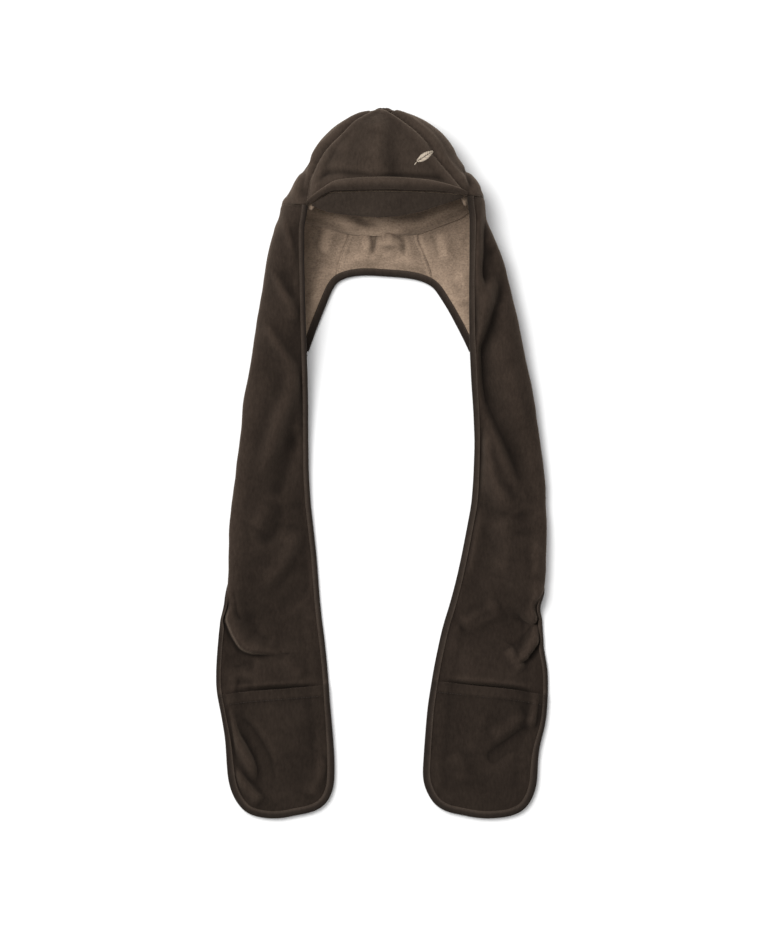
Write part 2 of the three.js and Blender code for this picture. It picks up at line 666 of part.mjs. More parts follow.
function neckSurface(u, v) {
  const side = (edge) => bandPoint(edge, 1, rowY(edge, (NECK_ROWS * (1 - v)) / edge.lastRow));
  const left = side(LEFT);
  const right = side(RIGHT);
  const x = mix(left.x + GAP, right.x - GAP, u);
  const low = look(NECK_LOW_BOW, u, 1) * (1 - v);
  const high = -2.4 * (1 - (2 * u - 1) ** 2) * v;
  const z = mix(BOUND_EDGE_Z, FLAT_Z, ease(0.2, 0.6, v));
  return new THREE.Vector3(x, mix(left.y, right.y, u) + low + high, z);
}

function neckLiningCenter() {
  const place = (u, v, height) => {
    const point = raised(neckSurface, mix(0.014, 0.986, u), mix(0.2, 0.97, v), height);
    point.z += 3.5 * Math.exp(-(((point.x - 7) / 13) ** 2)) * Math.sin(Math.PI * v) ** 0.8;
    return point;
  };
  const low = SCARF / 2 + LINING_GAP;
  return wall(place, NECK_COLUMNS, NECK_ROWS, () => low, () => low + LINING);
}

// The neck's binding: from behind the left band, along the middle, to behind the right band
function neckBinding() {
  const run = [];
  const part = (side) => {
    const stations = [];
    const first = NECK_ROWS;
    const last = side.rows.findIndex((y) => y < 134) - 1;
    for (let row = last; row >= first; row -= 1) stations.push(station(side, COLUMNS, row, -1, 0));
    return stations;
  };
  run.push(...part(LEFT));
  for (let column = 1; column < NECK_COLUMNS; column += 1) {
    const edge = neckSurface(column / NECK_COLUMNS, 0);
    const inward = neckSurface(column / NECK_COLUMNS, 0.2).sub(edge).normalize();
    run.push({ edge, inward, extra: 0, loose: 0, reach: TAPE_REACH });
  }
  run.push(...part(RIGHT).reverse());
  return binding(run.reverse());
}

// The assembly
const scarf = new THREE.Group();

function add(name, geometry, look3d) {
  const mesh = new THREE.Mesh(geometry, new THREE.MeshStandardMaterial(look3d));
  mesh.name = name;
  scarf.add(mesh);
}

add('crown_front_panel', shellWall(crownPanel(leftSeam, rightSeam), 12, 9), SHELL_BROWN);
add('crown_side_panel_left', shellWall(crownPanel(leftBackSeam, leftSeam), 7, 9), SHELL_BROWN);
add('crown_side_panel_right', shellWall(crownPanel(rightSeam, rightBackSeam), 7, 9), SHELL_BROWN);
add('crown_back_panel', shellWall(crownPanel(rightBackSeam, farBackSeam), 8, 9), SHELL_BROWN);
add('crown_top_gather', dome([1, 0.75, 0.4, 0], 16, gatherPlace), SHELL_BROWN);
add('crown_lining', dome([1, 0.88, 0.7, 0.5, 0.3, 0.12, 0], 22, liningPlace), LINING_BEIGE);
add('visor_roll', wall(rollPlace, 12, 4, () => SHELL / 2 + GAP, rollTop), SHELL_BROWN);
add('visor', wall(over(visorSurface), 16, 4, (u, v) => -visorHalf(u, v), visorHalf), SHELL_BROWN);
add('neck_panel_center', scarfSheet(over(neckSurface), NECK_COLUMNS, NECK_ROWS), SHELL_BROWN);
add('neck_lining_center', neckLiningCenter(), LINING_BEIGE);
add('neck_lining_left', neckLining(LEFT), LINING_BEIGE);
add('neck_lining_right', neckLining(RIGHT), LINING_BEIGE);
add('scarf_left', scarfSheet(over(band(LEFT)), COLUMNS, LEFT.lastRow), SHELL_BROWN);
add('scarf_right', scarfSheet(over(band(RIGHT)), COLUMNS, RIGHT.lastRow), SHELL_BROWN);
add('pocket_left', pocketWall(LEFT), SHELL_BROWN);
add('pocket_right', pocketWall(RIGHT), SHELL_BROWN);
add('edge_binding_left', longBinding(LEFT), TAPE_BROWN);
add('edge_binding_right', longBinding(RIGHT), TAPE_BROWN);
add('neck_binding', neckBinding(), TAPE_BROWN);

export default scarf;
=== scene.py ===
import math
from functools import partial

import bmesh
import bpy
import numpy as np
from mathutils import Matrix, Vector, noise


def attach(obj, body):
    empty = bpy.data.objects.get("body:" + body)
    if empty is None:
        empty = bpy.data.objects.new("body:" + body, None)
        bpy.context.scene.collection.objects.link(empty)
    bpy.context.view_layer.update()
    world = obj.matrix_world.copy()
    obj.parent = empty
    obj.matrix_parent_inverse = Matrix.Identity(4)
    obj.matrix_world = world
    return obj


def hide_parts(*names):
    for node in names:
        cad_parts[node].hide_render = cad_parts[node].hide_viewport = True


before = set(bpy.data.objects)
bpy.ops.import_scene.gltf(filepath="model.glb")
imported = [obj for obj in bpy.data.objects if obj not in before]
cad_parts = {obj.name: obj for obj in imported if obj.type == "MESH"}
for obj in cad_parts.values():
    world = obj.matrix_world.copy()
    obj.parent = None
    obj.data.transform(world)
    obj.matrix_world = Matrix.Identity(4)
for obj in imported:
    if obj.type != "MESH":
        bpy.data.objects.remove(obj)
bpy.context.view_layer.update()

# Camera. The scarf lies flat and is seen from straight above, through a long lens far away,
# so that the tall crown hardly leans outwards.
CAMERA_LENS = 300
CAMERA_SENSOR = 36
CAMERA_OVER = (0.0096, -0.006)
CAMERA_REACH = 40
# The photo's rows of pixels and the real height of one, in metres
PHOTO_ROWS = 936
PHOTO_ROW = 0.0012
PICTURE_HEIGHT = PHOTO_ROWS * PHOTO_ROW


def add_object(name, data):
    made = bpy.data.objects.new(name, data)
    bpy.context.collection.objects.link(made)
    return made


camera_data = bpy.data.cameras.new("overhead_camera")
camera_data.lens = CAMERA_LENS
camera_data.sensor_width = CAMERA_SENSOR
camera_data.clip_end = CAMERA_REACH
camera = add_object("overhead_camera", camera_data)
camera.location = (*CAMERA_OVER, PICTURE_HEIGHT * CAMERA_LENS / CAMERA_SENSOR)
bpy.context.scene.camera = camera

# Crown. Four panels of brushed fleece, sewn along a curved seam on each side of the brow and
# two seams at the back; lying on its back the hood keeps its height at the brow.
MM = 0.001
SHELL = 2.5
CROWN_X = 1.8
CROWN_WAIST_Z = 29
CROWN_BROW_Z = 77
CROWN_TOP_Y = 421
CROWN_HALF_WIDTH = 98
CROWN_FLARE_LEFT = 24
CROWN_FLARE_RIGHT = 22
CROWN_ROUNDNESS = 2.1
FRONT_SQUARENESS = 2.3
BACK_SQUARENESS = 4
FLARE_HEIGHT = 0.47
FLARE_CURVE = 1.3
BACK_FLATNESS = 4
TABLE_ROUND = 0.03
PANEL_TOP = 0.9
SEAM_GAP = 0.3
BACK_SEAM_TURN = 145
NECK_SEAM_TURN = 172.96
# Y of the open edge over the share of the half width, front side then back side
FRONT_EDGE = [
    [-1, 309.8], [-0.75, 307.6], [-0.55, 320.6], [-0.5, 323.4], [0, 324.8],
    [0.5, 323.4], [0.8, 320], [0.85, 318.6], [1, 318.2],
]
BACK_EDGE = [
    [-1, 309.8], [-0.8, 292.8], [-0.35, 277.2], [0, 274.8], [0.35, 277.2], [0.8, 297.6], [1, 318.2],
]
# Height up the crown, share of the half width of the left seam and of the right seam
FRONT_SEAMS = [
    [0, 0.75, 0.85], [0.12, 0.8, 0.81], [0.28, 0.86, 0.76], [0.45, 0.9, 0.7],
    [0.6, 0.87, 0.68], [0.74, 0.76, 0.61], [0.88, 0.7, 0.49], [1, 0.68, 0.38],
]


def mix(start, end, share):
    return start + (end - start) * share


def ease(start, end, value):
    share = np.clip((value - start) / (end - start), 0, 1)
    return share * share * (3 - 2 * share)


def between(span, share):
    """0 at both sides, and easing up over the span to 1 between them."""
    return ease(*span, share) * ease(*span, 1 - share)


def near(distance, width):
    """1 at no distance, and falling off softly over the width."""
    return np.exp(-((distance / width) ** 2))


def look(table, key, column, reach=0.0):
    """Reads a column of a table at the keys, rounded off over the reach."""
    rows = sorted(table)
    keys = [row[0] for row in rows]
    values = [row[column] for row in rows]
    taps = (-1, -0.5, 0, 0.5, 1) if np.any(reach) else (0,)
    return sum(np.interp(key + reach * tap, keys, values) for tap in taps) / len(taps)


def crown_height(up):
    return np.sin(up * np.pi / 2) ** (2 / CROWN_ROUNDNESS)


def crown(turn, up):
    """Middle of the crown's cloth: degrees round from the brow, rising to the right, and 0 to 1 up."""
    turn, up = np.broadcast_arrays(np.asarray(turn, float), np.asarray(up, float))
    angle = np.radians(turn)
    front = np.cos(angle) >= 0
    power = 2 / np.where(front, FRONT_SQUARENESS, BACK_SQUARENESS)
    across = np.sign(np.sin(angle)) * np.abs(np.sin(angle)) ** power
    lift = np.abs(np.cos(angle)) ** power
    height = crown_height(up)
    narrow = np.abs(np.cos(up * np.pi / 2)) ** (2 / CROWN_ROUNDNESS)
    low = np.maximum(0, 1 - height**BACK_FLATNESS) ** (1 / BACK_FLATNESS)
    flare = np.where(across < 0, CROWN_FLARE_LEFT, CROWN_FLARE_RIGHT)
    width = CROWN_HALF_WIDTH * narrow + flare * np.maximum(0, 1 - height / FLARE_HEIGHT) ** FLARE_CURVE
    front_edge = look(FRONT_EDGE, across, 1, TABLE_ROUND)
    back_edge = look(BACK_EDGE, across, 1, TABLE_ROUND)
    edge = np.where(front, front_edge, back_edge)
    z_front = CROWN_WAIST_Z + (CROWN_BROW_Z - CROWN_WAIST_Z) * narrow * lift
    z_back = CROWN_WAIST_Z - (CROWN_WAIST_Z - SHELL / 2) * low * lift
    x = CROWN_X + width * across
    return np.stack([x, mix(edge, CROWN_TOP_Y, height), np.where(front, z_front, z_back)], axis=-1)


def front_turn(share):
    return np.degrees(np.arcsin(share ** (FRONT_SQUARENESS / 2)))


def left_seam(up):
    return -front_turn(look(FRONT_SEAMS, crown_height(up), 1, TABLE_ROUND))


def right_seam(up):
    return front_turn(look(FRONT_SEAMS, crown_height(up), 2, TABLE_ROUND))


def beside(turn, up, side):
    """A seam's turn, moved round the head by half the gap between the panels."""
    pace = np.linalg.norm(crown(turn + 0.5, up) - crown(turn - 0.5, up), axis=-1)
    return turn + side * SEAM_GAP / 2 * (1 + 2 * up**4) / pace


def crown_panel(start, end):
    def place(u, v):
        up = v * PANEL_TOP
        return crown(mix(beside(start(up), up, 1), beside(end(up), up, -1), u), up)

    return place


def unit(vectors, least=0.0):
    """The vectors at length 1; none is taken to be shorter than the least."""
    return vectors / np.maximum(np.linalg.norm(vectors, axis=-1, keepdims=True), least)


def raised(surface, u, v, height):
    """Points lifted square off a surface."""
    step = 0.01
    across = surface(np.minimum(u + step, 1), v) - surface(np.maximum(u - step, 0), v)
    along = surface(u, np.minimum(v + step, 1)) - surface(u, np.maximum(v - step, 0))
    return surface(u, v) + unit(np.cross(across, along)) * np.asarray(height)[..., None]


def ripple(points, size, seed):
    """Soft random swell from -1 to 1, in lumps about as wide as the size."""
    offset = Vector((seed * 7.3, seed * 3.1, 0))
    return np.array([noise.noise(Vector(point) / size + offset) for point in points])


def swell(points, lumps):
    """Ripples added up, from a table of lumps: height, size, seed."""
    return sum(height * ripple(points, size, seed) for height, size, seed in lumps)


# Painted light and shade: ridges of the cloth get a painted highlight and creases painted shade in the
# colour. The reach, in mm, over which the cloth round a point is averaged, and the height over it at which
# the painting is nearly full.
PAINTED_LIGHT_REACH = 14
PAINTED_LIGHT_FULL = 1.8


def soften(laid, axis):
    """A laid grid of points averaged along one way of it, over the reach of the painted light and shade."""
    pace = np.linalg.norm(np.diff(laid, axis=axis), axis=2).mean()
    taps = max(1, min(round(PAINTED_LIGHT_REACH / pace), laid.shape[axis] - 2))
    spare = [(0, 0)] * 3
    spare[axis] = (taps, taps)
    wide = np.pad(laid, spare, mode="reflect", reflect_type="odd")
    weights = np.hanning(2 * taps + 3)[1:-1]
    weights /= weights.sum()
    reach = np.arange(laid.shape[axis])
    return sum(weight * np.take(wide, reach + tap, axis=axis) for tap, weight in enumerate(weights))


class Spots:
    """A sheet's grid points in millimetres, with the distance of each from the sheet's four edges."""

    def __init__(self, u, v, points):
        self.u, self.v = u, v
        self.x, self.y, self.z = points.T
        self.points = points
        order = self.order = np.lexsort((u.round(6), v.round(6)))
        self.rows = len(np.unique(v.round(6)))
        laid = points[order].reshape(self.rows, -1, 3)
        across = np.linalg.norm(np.diff(laid, axis=1), axis=2)
        along = np.linalg.norm(np.diff(laid, axis=0), axis=2)
        walked_u = np.pad(np.cumsum(across, axis=1), ((0, 0), (1, 0)))
        walked_v = np.pad(np.cumsum(along, axis=0), ((1, 0), (0, 0)))
        self.left = self._back(walked_u, order)
        self.right = self._back(walked_u[:, -1:] - walked_u, order)
        self.side = np.minimum(self.left, self.right)
        self.low = self._back(walked_v, order)
        self.high = self._back(walked_v[-1:] - walked_v, order)

    def _back(self, laid, order):
        flat = np.empty(len(order))
        flat[order] = laid.ravel()
        return flat

    def painted_light(self, points, normals):
        """From -1 in a crease to 1 on a ridge: how far points stand over the cloth round them; it paints
        shade into creases and a highlight onto ridges.
        """
        laid = points[self.order].reshape(self.rows, -1, 3)
        around = soften(soften(laid, 0), 1).reshape(-1, 3)
        over = ((laid.reshape(-1, 3) - around) * normals[self.order]).sum(1)
        return self._back(np.tanh(over / PAINTED_LIGHT_FULL), self.order)


def add_piece(name, body, material):
    """A smooth mesh object made from a bmesh, which rides on the part."""
    mesh = bpy.data.meshes.new(name)
    body.to_mesh(mesh)
    body.free()
    mesh.shade_smooth()
    mesh.materials.append(material)
    piece = add_object(name, mesh)
    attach(piece, "root")
    return piece


def finish_mesh(name, sheet, material):
    """The piece that stands for the solid of that name."""
    sheet.normal_update()
    piece = add_piece(f"sewn_{name}", sheet, material)
    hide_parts(name)
    return piece


def lay_grid(place, columns, rows, relief=None, flip=False):
    """A bmesh grid laid over place(u, v), then lifted square off itself by relief(spots).

    Its attribute of painted light tells ridges from creases: ridges get a painted highlight and creases
    painted shade in the colour.
    """
    sheet = bmesh.new()
    layer = sheet.loops.layers.uv.new("UVMap")
    bmesh.ops.create_grid(sheet, x_segments=columns, y_segments=rows, size=0.5)
    flat = np.array([vert.co[:2] for vert in sheet.verts]) + 0.5
    u, v = np.clip(flat, 0, 1).T
    spots = Spots(u, v, place(u, v))
    for vert, point in zip(sheet.verts, spots.points * MM):
        vert.co = point
    sheet.verts.index_update()
    for face in sheet.faces:
        for loop in face.loops:
            index = loop.vert.index
            loop[layer].uv = (spots.left[index] * MM, spots.low[index] * MM)
    if flip:
        bmesh.ops.reverse_faces(sheet, faces=sheet.faces)
    sheet.normal_update()
    if relief is not None:
        lifts = relief(spots) * MM
        moves = [vert.normal * lift for vert, lift in zip(sheet.verts, lifts)]
        for vert, move in zip(sheet.verts, moves):
            vert.co += move
        sheet.normal_update()
    points = np.array([vert.co for vert in sheet.verts]) / MM
    normals = np.array([vert.normal for vert in sheet.verts])
    # Painted light, one value per point: a highlight on ridges and shade in creases, for the colour.
    painted_light_layer = sheet.verts.layers.float.new("painted_light")
    for vert, painted_light in zip(sheet.verts, spots.painted_light(points, normals)):
        vert[painted_light_layer] = painted_light
    return sheet


def cloth(name, place, grid, thickness, material, relief=None, flip=False, closed=False):
    """One sheet of cloth: a laid grid with its thickness."""
    sheet = lay_grid(place, *grid, relief, flip)
    if closed:
        bmesh.ops.remove_doubles(sheet, verts=sheet.verts, dist=0.05 * MM)
    piece = finish_mesh(name, sheet, material)
    wall = piece.modifiers.new("thickness", "SOLIDIFY")
    wall.thickness = thickness * MM
    wall.offset = 0
    return piece


def feed(tree, node, inputs):
    """Gives a shader node its inputs: each is a value or an output socket to link."""
    for key, value in dict(inputs).items():
        if isinstance(value, bpy.types.NodeSocket):
            tree.links.new(value, node.inputs[key])
        else:
            node.inputs[key].default_value = value


def add_node(tree, kind, inputs=(), **settings):
    """A new shader node with its settings and inputs."""
    made = tree.nodes.new(kind)
    for key, value in settings.items():
        setattr(made, key, value)
    feed(tree, made, inputs)
    return made


def new_group(name, inputs, outputs):
    """An empty shader node group with named sockets, and its two end nodes."""
    group = bpy.data.node_groups.new(name, "ShaderNodeTree")
    for key, kind in inputs.items():
        group.interface.new_socket(name=key, in_out="INPUT", socket_type=kind)
    for key, kind in outputs.items():
        group.interface.new_socket(name=key, in_out="OUTPUT", socket_type=kind)
    return group, group.nodes.new("NodeGroupInput"), group.nodes.new("NodeGroupOutput")


def noise_at(tree, place, scale, detail, roughness=0.6):
    inputs = {"Vector": place, "Scale": scale, "Detail": detail, "Roughness": roughness}
    return add_node(tree, "ShaderNodeTexNoise", inputs).outputs["Fac"]


def weigh(tree, first, second, share):
    """first and second added up, the second times the share."""
    inputs = {0: second, 1: share, 2: first}
    return add_node(tree, "ShaderNodeMath", inputs, operation="MULTIPLY_ADD").outputs[0]


def blended(tree, share, low, high, blend_type="MIX"):
    """Two colours blended by a share."""
    inputs = {"Factor": share, 6: low, 7: high}
    return add_node(tree, "ShaderNodeMix", inputs, data_type="RGBA", blend_type=blend_type).outputs[2]


def pile_group(name, stretch, grains, tones, painted_light_strength, fibre_height, straight_fibres=False):
    """Pile as a node group: cloudy brushing, clumps of pile and fibres, with painted highlights on ridges
    and painted shade in creases.

    The grains are scale, detail and roughness of the clouds, the clumps and the fibres; straight
    fibres aren't stretched. The tones are the least and most noise that the colours span.
    """
    sockets = {
        "Place": "NodeSocketVector", "Painted Light": "NodeSocketFloat",
        "Shade": "NodeSocketColor", "Light": "NodeSocketColor",
    }
    group, start, end = new_group(name, sockets, {"Color": "NodeSocketColor", "Height": "NodeSocketFloat"})
    place, painted_light, shade, light = (start.outputs[key] for key in sockets)
    stretched = add_node(group, "ShaderNodeMapping", {"Vector": place, "Scale": stretch}).outputs[0]
    places = (place, stretched, place if straight_fibres else stretched)
    clouds, clumps, fibres = (noise_at(group, spot, *grain) for spot, grain in zip(places, grains))
    tone = weigh(group, weigh(group, clumps, clouds, CLOUD_WEIGHT), fibres, FIBRE_WEIGHT)
    spread = {"Value": tone, "From Min": tones[0], "From Max": tones[1], "To Min": 0.0, "To Max": 1.0}
    share = add_node(group, "ShaderNodeMapRange", spread).outputs[0]
    color = blended(group, share, shade, light)
    # Painted light: the colour is lightened on ridges and darkened in creases, by the given strength.
    color = blended(group, 1, color, weigh(group, 1, painted_light, painted_light_strength), "MULTIPLY")
    feed(group, end, {"Color": color, "Height": weigh(group, clumps, fibres, fibre_height)})
    return group


CLOUD_WEIGHT = 0.6
FIBRE_WEIGHT = 0.6
# The brushed pile's 0.7 is the strength of its painted highlight on ridges and painted shade in creases.
BRUSHED_PILE = pile_group(
    "brushed_pile", (1, 0.38, 1), [(24, 3), (330, 4, 0.7), (1500, 3, 0.75)], (0.78, 1.42), 0.7, 0.45
)


def new_material(name):
    """A new material, its node tree and its shader."""
    material = bpy.data.materials.new(name)
    material.use_nodes = True
    return material, material.node_tree, material.node_tree.nodes["Principled BSDF"]


def pile_material(name, group, shade, light, bump, depth, finish, ribs=None):
    """A cloth's material: pile between a shade and a light colour, its bump with a depth in mm.

    The finish is the roughness, the specular level and the weight, roughness and tint of the sheen.
    """
    material, tree, shader = new_material(name)
    place = add_node(tree, "ShaderNodeTexCoord").outputs["Object"]
    # The mesh attribute of painted light: painted highlight on ridges, painted shade in creases.
    painted_light = add_node(tree, "ShaderNodeAttribute", attribute_name="painted_light").outputs["Fac"]
    inputs = {"Place": place, "Painted Light": painted_light, "Shade": (*shade, 1), "Light": (*light, 1)}
    pile = add_node(tree, "ShaderNodeGroup", inputs, node_tree=group)
    height = pile.outputs["Height"] if ribs is None else ribs(tree, pile.outputs["Height"])
    lumps = add_node(tree, "ShaderNodeBump", {"Strength": bump, "Distance": depth * MM, "Height": height})
    feed(tree, shader, {"Base Color": pile.outputs["Color"], "Normal": lumps.outputs[0]})
    feed(tree, shader, zip(FINISH, finish))
    return material


FINISH = ["Roughness", "Specular IOR Level", "Sheen Weight", "Sheen Roughness", "Sheen Tint"]


def fleece(name, shade, light, bump=0.45):
    """Brushed fleece with a soft brown sheen."""
    return pile_material(name, BRUSHED_PILE, shade, light, bump, 0.9, (1.0, 0.1, 0.35, 0.45, BROWN_SHEEN))


BROWN_SHEEN = (0.52, 0.395, 0.3, 1)
crown_fleece = fleece("crown_fleece", (0.018, 0.0126, 0.0093), (0.038, 0.0274, 0.0206))
PUCKER_EVERY = 7
ROUND_SEAM_Z = (24, 33)
VALLEY_OVER_ROLL = 24
# The seams' ends at the brow stay full under the roll: how much, how far in, how far up
CORNER_FULL = 2.8
CORNER_WIDE = 6
CORNER_HIGH = 7
# Groove along a seam, where the cloth lies flat and where it is round
GROOVE_DEEP = (1.1, 3.4)
GROOVE_WIDE = (2.4, 4.6)
SEAM_ROLL = 1.5
SEAM_ROLL_AT = 11
SEAM_WIDE = 6
PUCKER_HIGH = 0.25
EDGE_SINK = 1.5
EDGE_SINK_WIDE = 2.8
# Lumps of the crown's swell: height, size, seed
CROWN_LUMPS = [[0.8, 42, 1], [0.35, 15, 2]]
VALLEY_DEEP = 2.2
VALLEY_WIDE = 5


def sewn_edge(distance, along, round_seam):
    """How far cloth dips to a seam, rolls up beside it and puckers where the stitches draw it in."""
    puckers = PUCKER_HIGH * np.sin(along * 2 * np.pi / PUCKER_EVERY) * near(distance, SEAM_WIDE)
    groove = -mix(*GROOVE_DEEP, round_seam) * near(distance, mix(*GROOVE_WIDE, round_seam))
    return groove + SEAM_ROLL * round_seam * near(distance - SEAM_ROLL_AT, SEAM_WIDE) + puckers


# Folds of the crown: height, steep width, gentle width, then points X, Y
FRONT_FOLDS = [
    [4.8, 12, 24, [[-4, 414], [-7, 388], [-7, 362], [-6, 332]]],
    [1.6, 13, 15, [[2, 420], [0, 406], [-4, 390]]],
    [1.2, 8, 14, [[-22, 410], [-36, 392], [-50, 368]]],
    [-1.6, 6, 10, [[-56, 380], [-66, 358], [-72, 340]]],
]
LEFT_FOLDS = [
    [-4, 3.6, 5, [[-96, 376], [-88.5, 364], [-92, 346], [-95.5, 328], [-96, 308]]],
    [1.6, 4, 6, [[-97, 350], [-101, 334], [-103, 314]]],
    [-1.6, 5, 8, [[-100, 352], [-108, 332], [-112, 312]]],
]
RIGHT_FOLDS = [
    [-3.6, 4, 4, [[97, 354], [101.5, 344], [104, 332], [105, 320]]],
    [2.6, 5, 8, [[104, 350], [111, 338], [114, 322]]],
    [-1.2, 6, 9, [[82, 374], [90, 358], [96, 342]]],
]


def smooth_line(points, count=24):
    """Points along a smooth curve through the given ones."""
    points = np.array(points, float)
    padded = np.vstack([2 * points[0] - points[1], points, 2 * points[-1] - points[-2]])
    spans = len(points) - 1
    share = np.linspace(0, spans - 1e-9, count)
    index = share.astype(int)
    t = (share - index)[:, None]
    a, b, c, d = (padded[index + k] for k in range(4))
    return 0.5 * (2 * b + (c - a) * t + (2 * a - 5 * b + 4 * c - d) * t**2 + (3 * b - a - 3 * c + d) * t**3)


# Shares of a fold's length over which it rises at its start and dies out at its end
FOLD_START = (-0.06, 0.22)
FOLD_END = (1.06, 0.78)
# How far from the seams, and how high up, the crown's swell, valley and side folds are full
SWELL_FROM_SEAM = (0, 12)
VALLEY_FROM_SEAM = (5, 25)
SIDE_FOLDS_Z = (12, 28)


def fold_lift(folds, x, y):
    """Height that soft folds add at X, Y: each dies out at its ends and has a steep and a gentle side."""
    lift = np.zeros(len(x))
    for height, steep, gentle, points in folds:
        line = smooth_line(points)
        starts, steps = line[:-1], np.diff(line, axis=0)
        gap = np.stack([x, y], axis=1)[:, None, :] - starts
        share = np.clip((gap * steps).sum(2) / (steps**2).sum(1), 0, 1)
        off = gap - share[..., None] * steps
        distance = np.linalg.norm(off, axis=2)
        nearest = distance.argmin(1)
        picked = np.arange(len(x)), nearest
        side = np.sign(steps[nearest, 0] * off[picked][:, 1] - steps[nearest, 1] * off[picked][:, 0])
        along = (nearest + share[picked]) / len(steps)
        ends = ease(*FOLD_START, along) * ease(*FOLD_END, along)
        lift += height * ends * near(distance[picked], np.where(side > 0, steep, gentle))
    return lift


def crown_relief(spots):
    seams = sewn_edge(spots.side, spots.low, ease(*ROUND_SEAM_Z, spots.z))
    seams -= EDGE_SINK * near(spots.low, EDGE_SINK_WIDE)
    seams += CORNER_FULL * near(spots.side, CORNER_WIDE) * near(spots.low, CORNER_HIGH)
    return seams + swell(spots.points, CROWN_LUMPS) * ease(*SWELL_FROM_SEAM, spots.side)


def front_relief(spots):
    inner = ease(*VALLEY_FROM_SEAM, spots.side)
    valley = -VALLEY_DEEP * near(spots.low - VALLEY_OVER_ROLL, VALLEY_WIDE) * inner
    return crown_relief(spots) + fold_lift(FRONT_FOLDS, spots.x, spots.y) + valley


def side_relief(folds, spots):
    return crown_relief(spots) + fold_lift(folds, spots.x, spots.y) * ease(*SIDE_FOLDS_Z, spots.z)


left_relief = partial(side_relief, LEFT_FOLDS)
right_relief = partial(side_relief, RIGHT_FOLDS)


def right_back_seam(up):
    return np.full_like(up, BACK_SEAM_TURN)


def left_back_seam(up):
    return np.full_like(up, -BACK_SEAM_TURN)


def far_back_seam(up):
    return np.full_like(up, 360 - BACK_SEAM_TURN)


CROWN_PANELS = [
    ["crown_front_panel", left_seam, right_seam, (120, 72), front_relief, (0.201, 0.124), 0.0145],
    ["crown_side_panel_left", left_back_seam, left_seam, (80, 72), left_relief, (0.098, 0.159), 0.0099],
    ["crown_side_panel_right", right_seam, right_back_seam, (80, 72), right_relief, (0.089, 0.153), 0.0108],
    ["crown_back_panel", right_back_seam, far_back_seam, (110, 72), crown_relief, (0.189, 0.148), 0.0186],
]
for name, start, end, grid, relief, flat, area in CROWN_PANELS:
    panel = cloth(name, crown_panel(start, end), grid, SHELL, crown_fleece, relief)

# Top gather. The tips of the panels are drawn together over a small stitched button of fleece,
# which stands a few millimetres proud at the very top of the hood.
PLEATS = 8
PLEAT_DEPTH = 0.5
GATHER_PUFF = 3.2
GATHER_RISE = (0.25, 0.85)
GATHER_GAP = 0.006
GATHER_WALL = 2.0
DIMPLE_DEEP = 1.8
DIMPLE_WIDE = 0.2


def gather(u, v):
    up = mix(PANEL_TOP + GATHER_GAP, 1, v)
    point = crown(360 * u, up)
    pleat = PLEAT_DEPTH * np.cos(2 * np.pi * u * PLEATS) * np.sin(v * np.pi)
    dimple = DIMPLE_DEEP * near(v - 1, DIMPLE_WIDE)
    point[..., 1] += GATHER_PUFF * ease(*GATHER_RISE, v) + pleat - dimple
    return point


top = cloth(
    "crown_top_gather", gather, (96, 16), GATHER_WALL, crown_fleece, closed=True
)

# Crown lining. A dome of nubby beige fleece inside the hood, seen under the visor, where its
# lower edge bulges before the seam to the neck lining.
LINING = 1.6
LINING_CLEAR = 1.7
LINING_CLEAR_TOP = 2.4
LINING_CLEAR_BROW = 2.6
LINING_LAP = 4.5
LAP_SHARE = 0.03
# Degrees round from the brow at which the lap begins and is full
LAP_TURN = (50, 72)
# Shares up the dome: its edge, its last full ring, where it draws in from the gather, its pole
LINING_START = 0.004
LINING_LAST = 0.985
LINING_DRAWN_IN = (0.75, 0.9)
LINING_POLE = (0.93, 1)
# Where the lining peeps out beside the visor: X, width, how far it hangs
LINING_TIPS = [[-86.5, 5.5, 7.5], [103.5, 4.5, 13]]
LINING_LUMPS = [[0.6, 26, 5], [0.3, 11, 6]]
# The soft pile's 0.5 is the strength of its painted highlight on ridges and painted shade in creases.
SOFT_PILE = pile_group(
    "soft_pile", (0.7, 1, 1), [(34, 3), (520, 3, 0.75), (1500, 2, 0.7)], (0.86, 1.36), 0.5, 0.4, True
)
lining_fleece = pile_material(
    "lining_fleece", SOFT_PILE, (0.165, 0.119, 0.085), (0.345, 0.252, 0.182), 0.75, 1.1,
    (1.0, 0.1, 0.25, 0.5, (0.9, 0.78, 0.66, 1)),
)


def over_crown(turn, up, height):
    """Points lifted square off the crown."""
    step = 0.01
    around = crown(turn + 1, up) - crown(turn - 1, up)
    rise = crown(turn, np.minimum(up + step, 1)) - crown(turn, np.maximum(0, up - step))
    return crown(turn, up) + unit(np.cross(around, rise), 1e-9) * np.asarray(height)[..., None]


def behind(turn):
    """1 on the back of the hood, where the lining's edge laps over the neck lining, 0 at the brow."""
    return ease(*LAP_TURN, 180 - np.abs(np.mod(turn, 360) - 180))


def lining_dome(u, v):
    turn, up = 360 * u, mix(LINING_START, 1, v)
    place = crown(turn, up)
    brow = LINING_CLEAR_BROW * ease(*ROUND_SEAM_Z, place[:, 2])
    clear = LINING_CLEAR + brow + LINING_CLEAR_TOP * ease(*LINING_DRAWN_IN, v)
    depth = SHELL / 2 + clear + LINING / 2
    inside = over_crown(turn, np.minimum(up, LINING_LAST), -depth)
    tips = sum(hang * near(place[:, 0] - x, wide) for x, wide, hang in LINING_TIPS)
    inside[:, 1] -= mix(tips, LINING_LAP, behind(turn)) * ease(LAP_SHARE, 0, v)
    pole = crown(0 * u, np.ones_like(u)) - np.array([0, 1, 0]) * depth[:, None]
    return mix(inside, pole, ease(*LINING_POLE, v)[:, None])


